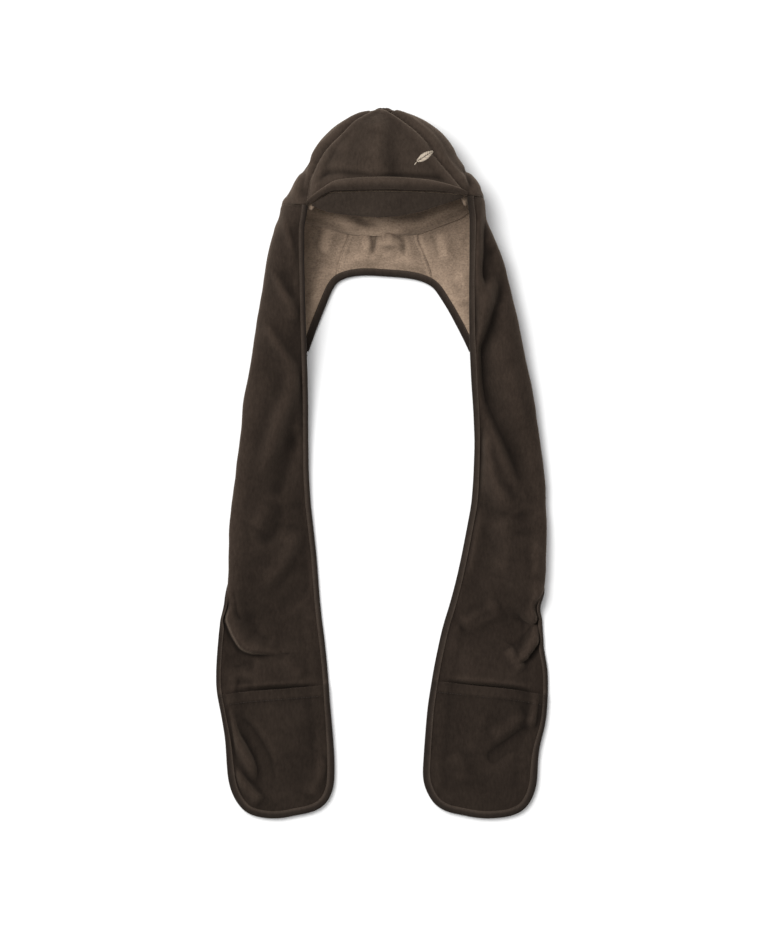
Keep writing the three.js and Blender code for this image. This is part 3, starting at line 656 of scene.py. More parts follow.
# Puckers of the neck, drawn in where the hood's lining meets the neck lining: height, steep
# width, gentle width, then points X, Y
NECK_PUCKERS = [
    [5.5, 8, 10, [[4, 300], [7, 284], [9, 268], [9, 258]]],
    [-5.5, 2.4, 4.5, [[-32, 293], [-22, 289], [-14, 283], [-9.5, 274], [-9, 262], [-12, 249]]],
    [2, 5, 9, [[-26, 280], [-19, 270], [-17, 252]]],
    [-4, 3.5, 5, [[8, 286], [14, 279], [24, 271], [27, 262], [25, 248]]],
    [-1.6, 5, 8, [[-8, 247], [6, 243], [22, 248]]],
    [2.2, 4, 7, [[22, 284], [32, 268], [42, 258]]],
    [-2, 3.5, 6, [[27, 282], [37, 266], [46, 255]]],
    [1.6, 5, 8, [[-32, 276], [-34, 262], [-36, 250]]],
]

# The lining bulges at the back over its seam: how much, how far up, how wide, how far round
BULGE = 3.6
BULGE_AT = 13
BULGE_WIDE = 7.5
BULGE_ROUND = 0.42
# Its edge is full too, but for a dip in the middle of the back
LAP_FULL = 2.8
LAP_WIDE = 5
LAP_DIP = 0.8
LAP_DIP_ROUND = 0.1
PUCKER_SHARE = 0.8
PUCKERS_Z = (24, 14)
BACK_CALM = 0.6


def lining_relief(spots):
    off_middle = (spots.u - 0.5) * 2
    back = near(off_middle, BULGE_ROUND)
    lap = LAP_FULL * behind(360 * spots.u) * (1 - LAP_DIP * near(off_middle, LAP_DIP_ROUND))
    bulge = BULGE * back * near(spots.low - BULGE_AT, BULGE_WIDE) + lap * near(spots.low, LAP_WIDE)
    puckers = PUCKER_SHARE * fold_lift(NECK_PUCKERS, spots.x, spots.y) * back * ease(*PUCKERS_Z, spots.z)
    return bulge + puckers + swell(spots.points, LINING_LUMPS) * (1 - BACK_CALM * back)


dome = cloth(
    "crown_lining", lining_dome, (180, 80), LINING, lining_fleece, lining_relief,
    flip=True, closed=True,
)

# Brow roll and visor. A padded fold of fleece lies along the brow, and below the seam stands
# a short visor, filled with soft padding, its free edge bowed down over the face.
ROLL_THICKNESS = 8.5
ROLL_LEAN = 1.45
ROLL_WALL = 1
ROLL_HEIGHT = 0.094
ROLL_START = 0.004
ROLL_SEAM_GAPS = 6
ROLL_TAPER = 0.55
ROLL_ROUND = 0.85
ROLL_ENDS = (0.01, 0.99)
ROLL_SECTION = (0.06, 0.99)
VISOR_THICKNESS = 5.5
VISOR_DROP = 9
VISOR_GAP = 1
VISOR_LEAST = 4
VISOR_UNDER_SEAM = 1.2
VISOR_CURL = 1.6
VISOR_SIDES = (-0.1, 0.4)
# Half the visor's thickness at its two ends, and the share of it that its free edge starts with
VISOR_THIN = 0.55
VISOR_EDGE_THIN = 0.3
VISOR_ROUNDS_BY = 1 / 2.6
VISOR_EDGE_ROUND = 5
VISOR_EDGE = [
    [-84, 307], [-66, 298.6], [-39.6, 294.8], [-16.8, 293], [-1.2, 292.2], [18, 293.6],
    [44.4, 298.6], [73.2, 308.4], [97, 316.4],
]
visor_fleece = fleece("visor_fleece", (0.0155, 0.0111, 0.0084), (0.034, 0.025, 0.019), 0.7)


def roll_taper(u):
    return np.sin(np.pi * mix(*ROLL_ENDS, u)) ** ROLL_TAPER


def roll_under(u, v):
    up = ROLL_START + ROLL_HEIGHT * roll_taper(u) * v
    left = beside(left_seam(up), up, ROLL_SEAM_GAPS)
    return mix(left, beside(right_seam(up), up, -ROLL_SEAM_GAPS), u), up


def roll_place(u, v, height):
    turn, up = roll_under(u, v)
    return over_crown(turn, up, height)


def roll_top(u, v):
    rounded = np.sin(np.pi * mix(*ROLL_SECTION, v**ROLL_LEAN)) ** ROLL_ROUND
    return SHELL / 2 + SEAM_GAP + ROLL_WALL + (ROLL_THICKNESS - ROLL_WALL) * roll_taper(u) * rounded


def roll_bottom(u, v):
    return np.full_like(u, SHELL / 2 + SEAM_GAP)


def visor_depth(u):
    return between(VISOR_SIDES, u)


def visor_surface(u, v):
    x = mix(VISOR_EDGE[0][0], VISOR_EDGE[-1][0], u)
    half = CROWN_HALF_WIDTH + np.where(x < 0, CROWN_FLARE_LEFT, CROWN_FLARE_RIGHT)
    share = (x - CROWN_X) / half
    seam = crown(np.sign(share) * front_turn(np.abs(share)), np.zeros_like(u))
    edge = look(VISOR_EDGE, x, 1, VISOR_EDGE_ROUND)
    deep = 1 - v
    y = mix(seam[..., 1] - VISOR_GAP, np.minimum(edge, seam[..., 1] - VISOR_LEAST), deep)
    z = seam[..., 2] - VISOR_UNDER_SEAM - VISOR_DROP * visor_depth(u) * deep**VISOR_CURL
    return np.stack([x, y, z], axis=-1)


def visor_half(u, v):
    round_edge = np.sqrt(np.maximum(0, 1 - (1 - np.minimum(v / VISOR_ROUNDS_BY, 1)) ** 2))
    return mix(VISOR_THIN, VISOR_THICKNESS / 2, visor_depth(u)) * mix(VISOR_EDGE_THIN, 1, round_edge)


def visor_place(u, v, height):
    return raised(visor_surface, u, v, height)


def pad(name, place, grid, low, high, material):
    """A padded piece: an upper and a lower grid, joined round their edges and rounded."""
    body = lay_grid(lambda u, v: place(u, v, high(u, v)), *grid)
    under = lay_grid(lambda u, v: place(u, v, low(u, v)), *grid, flip=True)
    spare = bpy.data.meshes.new("under")
    under.to_mesh(spare)
    under.free()
    body.from_mesh(spare)
    bpy.data.meshes.remove(spare)
    rims = [edge for edge in body.edges if edge.is_boundary]
    bmesh.ops.bridge_loops(body, edges=rims)
    bmesh.ops.recalc_face_normals(body, faces=body.faces)
    every_way = {"use_axis_x": True, "use_axis_y": True, "use_axis_z": True}
    bmesh.ops.smooth_vert(body, verts=body.verts, factor=0.5, **every_way)
    piece = finish_mesh(name, body, material)
    rounded = piece.modifiers.new("rounded", "SUBSURF")
    rounded.levels = rounded.render_levels = 1
    return piece


roll = pad("visor_roll", roll_place, (90, 12), roll_bottom, roll_top, crown_fleece)
visor = pad(
    "visor", visor_place, (100, 14), lambda u, v: -visor_half(u, v), visor_half, visor_fleece
)

# Scarf ends. Each is one long band of double fleece: beside the neck it is folded in half
# lengthwise, and above the pocket the fold opens until the end lies flat on the floor.
SCARF = 2.6
TAPE = 1
EDGE_COVER = TAPE + SEAM_GAP
RIM_GAP = 1
FLAT_Z = SCARF / 2
BOUND_EDGE_Z = SCARF / 2 + SEAM_GAP + TAPE + 0.35
OVER_BACK_Z = 8
OVER_BACK_MARGIN = 8
BOTTOM_BOW = 3.2
SINK_FROM = 14
SINK_TO = 26
FOLDS_FADE = (5.5, 13)
OUTER_FADE = (2.5, 8)
LEAST_RUN = 9.5
STEEP_Z = (3, 22)
OPENS_Y = (-45, -72)
OPEN_Y = (-172, -186)
FLAT_END_Y = (-165, -185)
FLAT_STOP_Y = (-382, -402)
BACK_FREE_Y = -160
BACK_ROUND = 4
BACK_KEEP = 4
BOUND_OVER = (9, 20)
BOW_Y = (-396, -421)
MOUTH_ROUND = 0.08
# How far above the mouth its swell rises and dies out, and the share it takes in from the sides
MOUTH_RISE = (0, 7)
MOUTH_FALL = (66, 16)
MOUTH_SIDES = (0.03, 0.35)
FULL_TURN = 3.1
TURN_SLACK = 1.2
MOUTH_SWELL = 7.5
SLACK_RAISE = 1.5
RIM_Y = 309.6
RIM_COUNT = 61
NECK_RIM_Y = 277.2
RIM_FADE_Y = 190
RIM_BLEND_Y = 280
ROUND_OFF = 9
# Near the end the tables are rounded off less: one part in so many of the way from it, or a least reach
END_ROUND_PARTS = 3
END_ROUND_LEAST = 0.5
# Rows of the bands' meshes lie closer where the fold opens: share of the rows, Y
ROW_PACE = [[0, 309.6], [0.55, -128], [0.84, -268], [1, -421.5]]
scarf_fleece = fleece("scarf_fleece", (0.0135, 0.0092, 0.0068), (0.0288, 0.0202, 0.0151))

# Inner edge Z, top of the fold Z, fold's half width and turn where a band lies flat
LAID_FLAT = [2.6, 2.6, 1, 0]

# Rows: Y, inner edge X, outer edge X, and then the same four
LEFT = {
    "name": "left",
    "out": -1,
    "neck_bound_y": 219,
    "tape_reach": 4.8,
    "seam": (left_seam(np.zeros(1))[0], -NECK_SEAM_TURN),
    "table": [
        [309.6, -92.4, -122.4, 63, 62, 28, 180],
        [283, -92.8, -128.9, 59, 58, 32, 180],
        [244.8, -93, -138, 52, 53, 36, 180],
        [190.8, -92, -146.8, 42, 45, 37, 180],
        [140.4, -90.6, -154.2, 30, 37, 33, 180],
        [104.4, -89.4, -160.3, 22, 31, 28, 180],
        [73.2, -88.8, -165.6, 16, 27, 22, 180],
        [30, -88.8, -170.4, 10, 22, 16, 180],
        [-12, -88.2, -175.2, 7, 19, 13, 180],
        [-49.2, -86, -179.6, 5, 18, 12, 180],
        [-76.8, -82.8, -182.9, 4, 20, 13, 180],
        [-109.2, -79.2, -183.8, 3, 21, 14, 180],
        [-136, -77.1, -184.7, 2.6, 20, 14, 150],
        [-154.8, -75.8, -185.3, 2.6, 16, 11, 90],
        [-170.4, -74.4, -192.6, 2.6, 9, 7, 30],
        [-187.2, -72.7, -194.6, 2.6, 2.8, 1, 0],
        *([*row, *LAID_FLAT] for row in [
            [-208.8, -69.8, -196.8], [-231.6, -67.4, -198.7], [-250.8, -65.5, -199.8],
            [-273.6, -63.8, -199.4], [-291.6, -62.5, -195.6], [-313.2, -60.4, -191.5],
            [-333.6, -58.8, -188.4], [-354, -57.4, -187.4], [-378, -57.3, -185.6],
            [-389, -58.2, -183.2], [-400, -61.8, -179], [-409, -68.4, -173],
            [-415, -77, -167.6], [-419, -90, -162], [-421.5, -106, -155],
        ]),
    ],
    # Back edge: Y, X
    "back": [
        [277, -42.2], [234, -53.6], [219, -56], [203, -63.7], [187, -69.9], [163, -79.5],
        [130, -91], [-154.8, -184],
    ],
    "neck_rows": [309.6, 296, 281, 264, 247, 229.8],
    "end_y": -421.5,
    # Mouth of the pocket: share across, Y
    "mouth": [[0, -266.4], [0.12, -268], [0.4, -270.5], [0.75, -274], [1, -278.4]],
    # Folds: height, steep width, gentle width, then points X, Y
    "folds": [
        [1.8, 3, 9, [[-121, 300], [-115, 284], [-109, 264], [-105, 246], [-103, 230]]],
        [2, 2.2, 3.6, [[-120, 296], [-112, 274], [-106.5, 252]]],
        [3.4, 4, 12, [[-130, 230], [-117.6, 204], [-106.8, 184], [-102, 168]]],
        [2, 2.4, 3.8, [[-133, 236], [-120, 208], [-107, 186]]],
        [-1.5, 7, 10, [[-120, 232], [-108, 210], [-101, 196]]],
        [3.8, 5.5, 13, [[-144, 170], [-122.4, 138], [-104, 108]]],
        [1.8, 2.6, 4, [[-140, 166], [-124, 140], [-108, 118]]],
        [9, 9, 13, [[-110, 124], [-108, 96], [-114, 72], [-126, 40], [-134, 15], [-150, -20]]],
        [-6, 10, 12, [[-106, 44], [-113, 10], [-121, -18], [-130, -46]]],
        [2.6, 8, 11, [[-136, -48], [-146, -66], [-154, -78]]],
        [-3.8, 9, 12, [[-126, -44], [-126, -68], [-134, -86], [-152, -96]]],
        [8, 9, 15, [[-104, -78], [-112, -104], [-124, -126], [-146, -150]]],
        [-6, 6, 12, [[-91, -114], [-90, -138], [-98, -156], [-110, -168], [-126, -176]]],
        [13.5, 20, 3.2, [[-200, -138], [-193, -160], [-187, -178], [-180.5, -194], [-174, -208],
                       [-167, -218.5], [-157, -223.5], [-144, -225], [-124, -226.5]]],
        [-3, 3, 5, [[-178, -150], [-177, -168], [-174, -182], [-169, -190]]],
        [-4, 9, 9, [[-190, -236], [-170, -240], [-150, -242]]],
        [-3, 8, 12, [[-160, -176], [-157, -194], [-148, -208], [-132, -216]]],
        [2, 8, 12, [[-94, 96], [-99, 60], [-95, 20]]],
        [2, 7, 11, [[-118, -232], [-108, -244], [-96, -258]]],
        [-3, 6, 9, [[-176, -262], [-166, -264], [-150, -268]]],
    ],
    "pocket_folds": [
        [9, 4.5, 9, [[-192, -268], [-189, -286], [-183, -306], [-176, -324], [-166, -343],
                     [-156, -364], [-149, -384]]],
        [-8, 8, 11, [[-172, -308], [-158, -326], [-145, -346], [-140, -368], [-143, -392]]],
        [7, 4, 8, [[-184, -362], [-168, -380], [-154, -396], [-144, -406]]],
        [4.5, 8, 12, [[-64, -356], [-78, -378], [-88, -400]]],
        [1.6, 9, 14, [[-92, -288], [-102, -320], [-98, -352]]],
        [-1.6, 7, 10, [[-72, -300], [-74, -326], [-82, -348]]],
    ],
}
RIGHT = {
    "name": "right",
    "out": 1,
    "neck_bound_y": 213,
    "tape_reach": 6,
    "seam": (right_seam(np.zeros(1))[0], NECK_SEAM_TURN),
    "table": [
        [309.6, 105.4, 123.6, 56, 55, 18, 180],
        [286.8, 105.1, 123.6, 53, 52, 18, 180],
        [265.2, 104.9, 133.8, 50, 50, 26, 180],
        [238.8, 104.8, 145.7, 46, 48, 32, 180],
        [214.8, 104.6, 151.7, 42, 45, 36, 180],
        [178.8, 104.5, 160.6, 36, 41, 35, 180],
        [140.4, 105.2, 169.6, 28, 36, 31, 180],
        [98.4, 107.2, 178.6, 20, 30, 26, 180],
        [62.4, 109.8, 184.4, 14, 26, 21, 180],
        [24, 111.4, 190.4, 9, 22, 16, 180],
        [-20.4, 109.8, 194.9, 6, 19, 13, 180],
        [-49.2, 107.6, 196.3, 4.5, 17, 11, 180],
        [-79.2, 102, 197.2, 3.5, 19, 12, 180],
        [-110.4, 96, 196.8, 3, 21, 14, 180],
        [-138, 90, 196, 2.6, 20, 14, 150],
        [-157.2, 85, 193.8, 2.6, 16, 11, 90],
        [-171.6, 81.1, 191, 2.6, 9, 7, 30],
        [-184.8, 76.8, 193.2, 2.6, 2.8, 1, 0],
        *([*row, *LAID_FLAT] for row in [
            [-199.2, 72.5, 192.7], [-224.4, 67, 194.8], [-244.8, 62.8, 199],
            [-265.2, 59.4, 199.9], [-291.6, 55.2, 199], [-313.2, 53.2, 196.8],
            [-334.8, 51.5, 190.8], [-354, 50.2, 187.6], [-376, 48.8, 187.2],
            [-388.8, 51.4, 185.8], [-398, 55.8, 182.8], [-406, 61, 178.6], [-412, 67.4, 174.2],
            [-417.6, 79, 167.6], [-421.5, 100, 157],
        ]),
    ],
    "back": [
        [277, 42.2], [223, 60.2], [213, 63], [206, 67], [185, 80.5], [160, 93.7], [136, 105.7],
        [-104, 176], [-165, 188.6],
    ],
    "neck_rows": [309.6, 294, 277, 259, 240, 221.5],
    "end_y": -421.5,
    "mouth": [[0, -261.6], [0.35, -266.4], [0.7, -271], [1, -278.4]],
    "folds": [
        [-10, 15, 4, [[125, 296], [122, 275], [120.5, 245], [120, 224], [128, 206]]],
        [-7, 14, 9, [[129, 262], [133, 240], [139, 214], [146, 188]]],
        [4, 6, 12, [[110, 290], [109, 262], [110, 232], [112, 206]]],
        [-11, 15, 6, [[145, 236], [134, 190], [126, 155], [118, 134], [117.6, 106], [125, 79], [138, 46],
                       [151, 17], [161, -8], [168, -28]]],
        [5, 6, 12, [[140, 234], [128, 190], [119, 155], [112, 134]]],
        [8, 8, 14, [[122, 42], [126, 10], [134, -24], [154, -58]]],
        [2.6, 8, 13, [[152, 118], [160, 78], [168, 38]]],
        [-2.2, 11, 12, [[164, -56], [169, -72], [170, -92]]],
        [-3.6, 11, 14, [[104, -142], [116, -168], [126, -188]]],
        [6, 9, 13, [[94, -196], [118, -182], [142, -170]]],
        [3.5, 5, 8, [[184, -92], [187, -118], [184, -140]]],
        [12, 2.4, 16, [[204, -144], [197, -160], [191, -174], [186, -184], [179, -194]]],
        [11, 2.4, 9, [[200, -188], [193, -198], [188, -209], [181, -221], [172, -232], [162, -238]]],
        [-7, 5, 5, [[194, -178], [189, -188], [184, -196]]],
        [-6, 5, 6, [[188, -216], [182, -226], [174, -234]]],
        [-4, 8, 10, [[166, -186], [160, -204], [148, -216]]],
        [5, 4, 8, [[152, -222], [160, -236], [170, -248]]],
        [4, 10, 14, [[112, -50], [106, -100], [98, -140]]],
        [4, 10, 14, [[140, -60], [148, -100], [142, -136]]],
    ],
    "pocket_folds": [
        [9, 4.5, 8, [[196, -276], [191, -290], [185, -304], [181, -318]]],
        [-7, 7, 8, [[180, -322], [156, -335], [138, -348], [126, -358]]],
        [4, 7, 11, [[172, -300], [150, -318], [132, -330]]],
        [-2.6, 5, 8, [[178, -352], [176, -374], [172, -394]]],
        [2, 9, 13, [[84, -348], [92, -364], [98, -384]]],
        [1.8, 9, 13, [[122, -296], [112, -326], [104, -350]]],
    ],
}


def walk(points):
    """Way walked along a line of points up to each of them."""
    return np.append(0, np.cumsum(np.linalg.norm(np.diff(points, axis=0), axis=1)))


def read_off(way, walked, values):
    """The values' columns at some way along a line, between the ways walked to them."""
    return np.stack([np.interp(way, walked, column) for column in values.T], axis=-1)


def rim_points(side):
    """The crown's edge from the brow corner round to the neck, at an even pace."""
    turns = mix(*side["seam"], np.linspace(0, 1, RIM_COUNT))
    points = crown(turns, np.zeros(RIM_COUNT))
    walked = walk(points)
    return walked / walked[-1], points


def turn_slack(y):
    return TURN_SLACK * ease(*OPENS_Y, y) * ease(*OPEN_Y[::-1], y)


def band(side, y, u=None, walked=None, back_walked=None):
    """Middle of a band's cloth at Y: u, or the way walked from the inner edge or from the back edge."""
    rise = np.clip((y - RIM_FADE_Y) / (RIM_Y - RIM_FADE_Y), 0, 1)
    end_y = y + (NECK_RIM_Y - RIM_Y) * rise
    out = side["out"]
    table = side["table"]
    rounding = np.clip((y - side["end_y"]) / END_ROUND_PARTS, END_ROUND_LEAST, ROUND_OFF)
    inner = look(table, y, 1, rounding) + out * EDGE_COVER
    width = np.abs(look(table, y, 2, rounding) - inner) - EDGE_COVER
    inner_z = np.maximum(BOUND_EDGE_Z, look(table, y, 3, ROUND_OFF))
    fold_z = np.maximum(BOUND_EDGE_Z, look(table, y, 4, ROUND_OFF))
    fold_width = np.minimum(width - LEAST_RUN, look(table, y, 5, ROUND_OFF))
    turn = np.radians(look(table, y, 6, ROUND_OFF))
    back = out * (look(side["back"], end_y, 1, BACK_ROUND) - inner)
    run_out = width - fold_width
    run_back = np.where(turn > FULL_TURN, np.maximum(0, run_out - back), 0)
    bound = 1 - ease(*BOUND_OVER, end_y - side["neck_bound_y"])
    lift = (BOUND_EDGE_Z - FLAT_Z) * bound
    slack = SLACK_RAISE * turn_slack(y)
    floor_z = FLAT_Z + lift * (1 - ease(SINK_FROM, SINK_TO, run_back)) + slack
    half = (fold_z - floor_z) / 2
    arc = turn * np.sqrt((fold_width**2 + half**2) / 2)
    total = run_out + arc + run_back
    if u is not None:
        walked = u * total
    elif back_walked is not None:
        walked = total - back_walked
    u = walked / total

    least = np.maximum(SINK_FROM, np.minimum(run_out, back - BACK_KEEP))
    reach = mix(least, run_out, ease(*STEEP_Z, inner_z))
    flat = ease(*FLAT_END_Y, y) * ease(*FLAT_STOP_Y[::-1], y)
    inside = ease(SINK_FROM, SINK_TO, walked) * ease(SINK_FROM, SINK_TO, run_out - walked)
    top_z = mix(inner_z, fold_z, ease(0, reach, walked)) - (BOUND_EDGE_Z - FLAT_Z) * flat * inside

    angle = (walked - run_out) / np.maximum(arc, 1e-6) * turn
    left = total - walked
    under_z = np.maximum(floor_z, FLAT_Z + lift * (1 - ease(SINK_FROM, SINK_TO, left)) + slack)

    on_top = walked <= run_out
    on_fold = ~on_top & (walked <= run_out + arc)
    out_way = np.select(
        [on_top, on_fold], [walked, run_out + fold_width * np.sin(angle)], run_out - (walked - run_out - arc)
    )
    z = np.select([on_top, on_fold], [top_z, floor_z + half + half * np.cos(angle)], under_z)
    topness = np.select([on_top, on_fold], [np.ones_like(z), np.maximum(0, np.cos(angle))], 0)

    x = inner + out * out_way
    bow = -BOTTOM_BOW * ease(*BOW_Y, y) * (1 - (2 * u - 1) ** 2)
    rim = read_off(u, *side["rim"])
    far_edge = ease(*OUTER_FADE, run_out + arc - walked)
    calm = ease(*FOLDS_FADE, walked) * mix(far_edge, 1, turn / np.pi)
    over_mouth = y - look(side["mouth"], u, 1, MOUTH_ROUND)
    slack_mouth = ease(*MOUTH_RISE, over_mouth) * ease(*MOUTH_FALL, over_mouth)
    slack_mouth *= between(MOUTH_SIDES, u)
    over_back = (y > BACK_FREE_Y) & (back > 0) & (walked > back - OVER_BACK_MARGIN) & (topness > 0.5)
    room = np.maximum(z - np.where(over_back, OVER_BACK_Z, FLAT_Z), 0.01)
    fold = (fold_lift(side["folds"], x, y) * calm + MOUTH_SWELL * slack_mouth) * topness
    folded = z + np.where(fold < 0, room * np.tanh(fold / room), fold)
    point = np.stack([x, y + bow + (rim[:, 1] - RIM_GAP - RIM_Y) * rise, folded], axis=-1)
    blend = ease(RIM_BLEND_Y, RIM_Y, y)[:, None]
    joined = np.stack([rim[:, 0], point[:, 1], rim[:, 2]], axis=-1)
    return mix(point, joined, blend)


SCARF_LUMPS = [[1.5, 52, 11], [0.4, 17, 12]]
END_SINK = 1.6
END_SINK_WIDE = 3
# How far from the side edges, from the end and over the floor the swell is full
SWELL_SIDES = (3, 14)
SWELL_END = (2, 16)
SWELL_Z = (2.2, 5.5)


def scarf_relief(spots):
    free = ease(*SWELL_SIDES, spots.side) * ease(*SWELL_END, spots.low)
    up = ease(*SWELL_Z, spots.z)
    return swell(spots.points, SCARF_LUMPS) * free * up - END_SINK * near(spots.low, END_SINK_WIDE)


def scarf_place(side, u, v):
    return band(side, look(ROW_PACE, v, 1), u=u)


for side in (LEFT, RIGHT):
    side["rim"] = rim_points(side)
    side["scarf"] = cloth(
        f"scarf_{side['name']}", partial(scarf_place, side), (138, 330), SCARF, scarf_fleece,
        scarf_relief, flip=side["out"] > 0,
    )

# Neck. A centre panel joins the two bands behind the neck; inside it is lined with the same
# beige fleece as the hood, in three parts with flat cover-stitched seams between them.
LINING_GAP = 1
NECK_BOW_ROUND = 0.06
NECK_HIGH_BOW = 2.4
# Shares up the neck panel over which it settles from its bound edge to the floor
NECK_SETTLES = (0.2, 0.6)
# Bow of the neck panel's low edge: share across, how far down
NECK_LOW_BOW = [[0, 0], [0.14, 7.5], [0.3, 10.2], [0.5, 9.6], [0.68, 9.4], [0.85, 7.6], [1, 0]]
LINING_LIFT = SCARF / 2 + LINING_GAP + LINING / 2
BOUND_LINING_LIFT = SCARF / 2 + 0.2 + LINING / 2
LINING_FROM = 9
LINING_BOUND = 4


def neck_surface(u, v):
    def edge(side):
        rows = side["neck_rows"]
        y = np.interp((len(rows) - 1) * (1 - v), range(len(rows)), rows)
        return band(side, y, u=np.ones_like(u))

    left, right = edge(LEFT), edge(RIGHT)
    low = look(NECK_LOW_BOW, u, 1, NECK_BOW_ROUND) * (1 - v)
    high = -NECK_HIGH_BOW * (1 - (2 * u - 1) ** 2) * v
    x = mix(left[:, 0] + SEAM_GAP, right[:, 0] - SEAM_GAP, u)
    y = mix(left[:, 1], right[:, 1], u) + low + high
    return np.stack([x, y, mix(BOUND_EDGE_Z, FLAT_Z, ease(*NECK_SETTLES, v))], axis=-1)


neck_panel = cloth("neck_panel_center", neck_surface, (60, 32), SCARF, scarf_fleece)

PUFF = 3.4
# Slack kept over the neck panel where a pucker is drawn in
LEAST_PUFF = -0.3
LINING_SEAM_DEEP = 1.1
LINING_SEAM_WIDE = 1.7
CENTER_LUMPS = [[0.3, 12, 21]]
# The centre part starts this share above the binding, and goes this share past its side seams
CENTER_START = 0.085
CENTER_PAST = 0.003
CENTER_RISES = (0.08, 0.3)
CENTER_SIDES = (0.06, 0.3)
CENTER_LOW = (0.1, 0.4)
CENTER_HIGH = (1.03, 0.7)
CENTER_FROM_SEAM = (0, 6)


def center_lining_place(u, v):
    lift = mix(BOUND_LINING_LIFT, LINING_LIFT, ease(*CENTER_RISES, v))
    point = raised(neck_surface, mix(-CENTER_PAST, 1 + CENTER_PAST, u), mix(CENTER_START, 1, v), lift)
    middle = ease(*CENTER_SIDES, np.minimum(u, 1 - u)) * ease(*CENTER_LOW, v)
    puff = PUFF * middle * ease(*CENTER_HIGH, v)
    folds = fold_lift(NECK_PUCKERS, point[:, 0], point[:, 1]) * middle
    point[:, 2] += np.maximum(LEAST_PUFF, puff + folds)
    return point


def center_lining_relief(spots):
    seams = -LINING_SEAM_DEEP * near(spots.side, LINING_SEAM_WIDE)
    return seams + swell(spots.points, CENTER_LUMPS) * ease(*CENTER_FROM_SEAM, spots.side)


center_lining = cloth(
    "neck_lining_center", center_lining_place, (110, 64), LINING, lining_fleece,
    center_lining_relief,
)

SIDE_LINING_FOLDS = {
    "left": [
        [3, 7, 12, [[-60, 284], [-66, 268], [-68, 250]]],
        [-2.2, 6, 10, [[-76, 286], [-80, 262], [-76, 240]]],
        [2, 7, 12, [[-76, 232], [-80, 210], [-84, 190]]],
    ],
    "right": [
        [-2.4, 4, 7, [[57, 276], [62, 262], [66, 244]]],
        [2.4, 6, 10, [[68, 280], [74, 262], [80, 240]]],
        [2, 8, 12, [[92, 232], [98, 208], [100, 190]]],
    ],
}
SIDE_LUMPS = [[0.4, 22, 31]]
LINING_LOW_Y = 134
LEAST_FOLD = -0.4
# How far over the neck binding's lower end, in Y, the lining comes in to it and is tucked under it
LINING_COMES_IN = (40, 20)
LINING_TUCKED = (14, 2)
LINING_UNDER_RIM = 0.5
LINING_PAST_EDGE = 0.2
# Way from the back edge over which the lining sinks to the binding, and lower than which Z its
# folds are full, away from that edge
LINING_SINKS = (12, 4)
LINING_FOLDS_Z = (30, 12)
LINING_FOLDS_FROM_EDGE = (0, 8)


def band_width(side, y):
    """Way across a band's cloth at Y, from its middle."""
    step = 0.01
    middle = band(side, y, u=np.full_like(y, 0.5))
    return np.linalg.norm(middle - band(side, y, u=np.full_like(y, 0.5 - step)), axis=-1) / step


def side_lining_place(side, u, v):
    y = mix(RIM_Y - LINING_UNDER_RIM, LINING_LOW_Y, v)
    bound, tucked = (
        ease(side["neck_bound_y"] + start, side["neck_bound_y"] + end, y)
        for start, end in (LINING_COMES_IN, LINING_TUCKED)
    )
    full = band_width(side, y)
    start = LINING_FROM / full
    end = 1 - mix(-LINING_PAST_EDGE, LINING_BOUND, tucked) / full

    def surface(a, b):
        return band(side, mix(RIM_Y, LINING_LOW_Y, b), u=a)

    across = mix(start, end, u)
    from_edge = (1 - across) * full
    lift = side["out"] * mix(LINING_LIFT, BOUND_LINING_LIFT, bound * ease(*LINING_SINKS, from_edge))
    point = raised(surface, across, (RIM_Y - y) / (RIM_Y - LINING_LOW_Y), lift)
    low = ease(*LINING_FOLDS_Z, point[:, 2]) * ease(*LINING_FOLDS_FROM_EDGE, from_edge)
    folds = fold_lift(SIDE_LINING_FOLDS[side["name"]], point[:, 0], point[:, 1])
    point[:, 2] += np.maximum(LEAST_FOLD, folds) * low
    return point


def side_lining_relief(spots):
    return -LINING_SEAM_DEEP * near(spots.right, LINING_SEAM_WIDE) + swell(spots.points, SIDE_LUMPS)


for side in (LEFT, RIGHT):
    side["lining"] = cloth(
        f"neck_lining_{side['name']}", partial(side_lining_place, side), (110, 90), LINING, lining_fleece,
        side_lining_relief, flip=side["out"] < 0,
    )

# Pockets. A patch of the same fleece lies on each flat end, its hem folded in and stitched;
# the belly of the patch stands a little open at the mouth, for a hand.
POCKET = 2
POCKET_GAP = 0.5
POCKET_BELLY = 9
HEM = 12.5
POCKET_LIFT = SCARF / 2 + POCKET_GAP + POCKET / 2
POCKET_INSET = 0.012
# Shares across and down the pocket where its belly is full, and where its folds are
BELLY_SIDES = (0.08, 0.5)
BELLY_DOWN = (0, 0.85)
POCKET_FOLD_SIDES = (0.05, 0.1)
POCKET_FOLD_DOWN = (1, 0.9)
# How far from the sides and from the mouth its hem and swell are full
POCKET_FROM_SIDES = (2, 12)
POCKET_FROM_TOP = (0, 10)
HEM_HIGH = 1.2
HEM_GROOVE = 0.3
HEM_GROOVE_WIDE = 2
HEM_PUCKER = 0.2
HEM_PUCKER_WIDE = 5
POCKET_LUMPS = [[0.55, 34, 41], [0.25, 13, 42]]
pocket_fleece = fleece("pocket_fleece", (0.0126, 0.0087, 0.0064), (0.0268, 0.019, 0.0142))


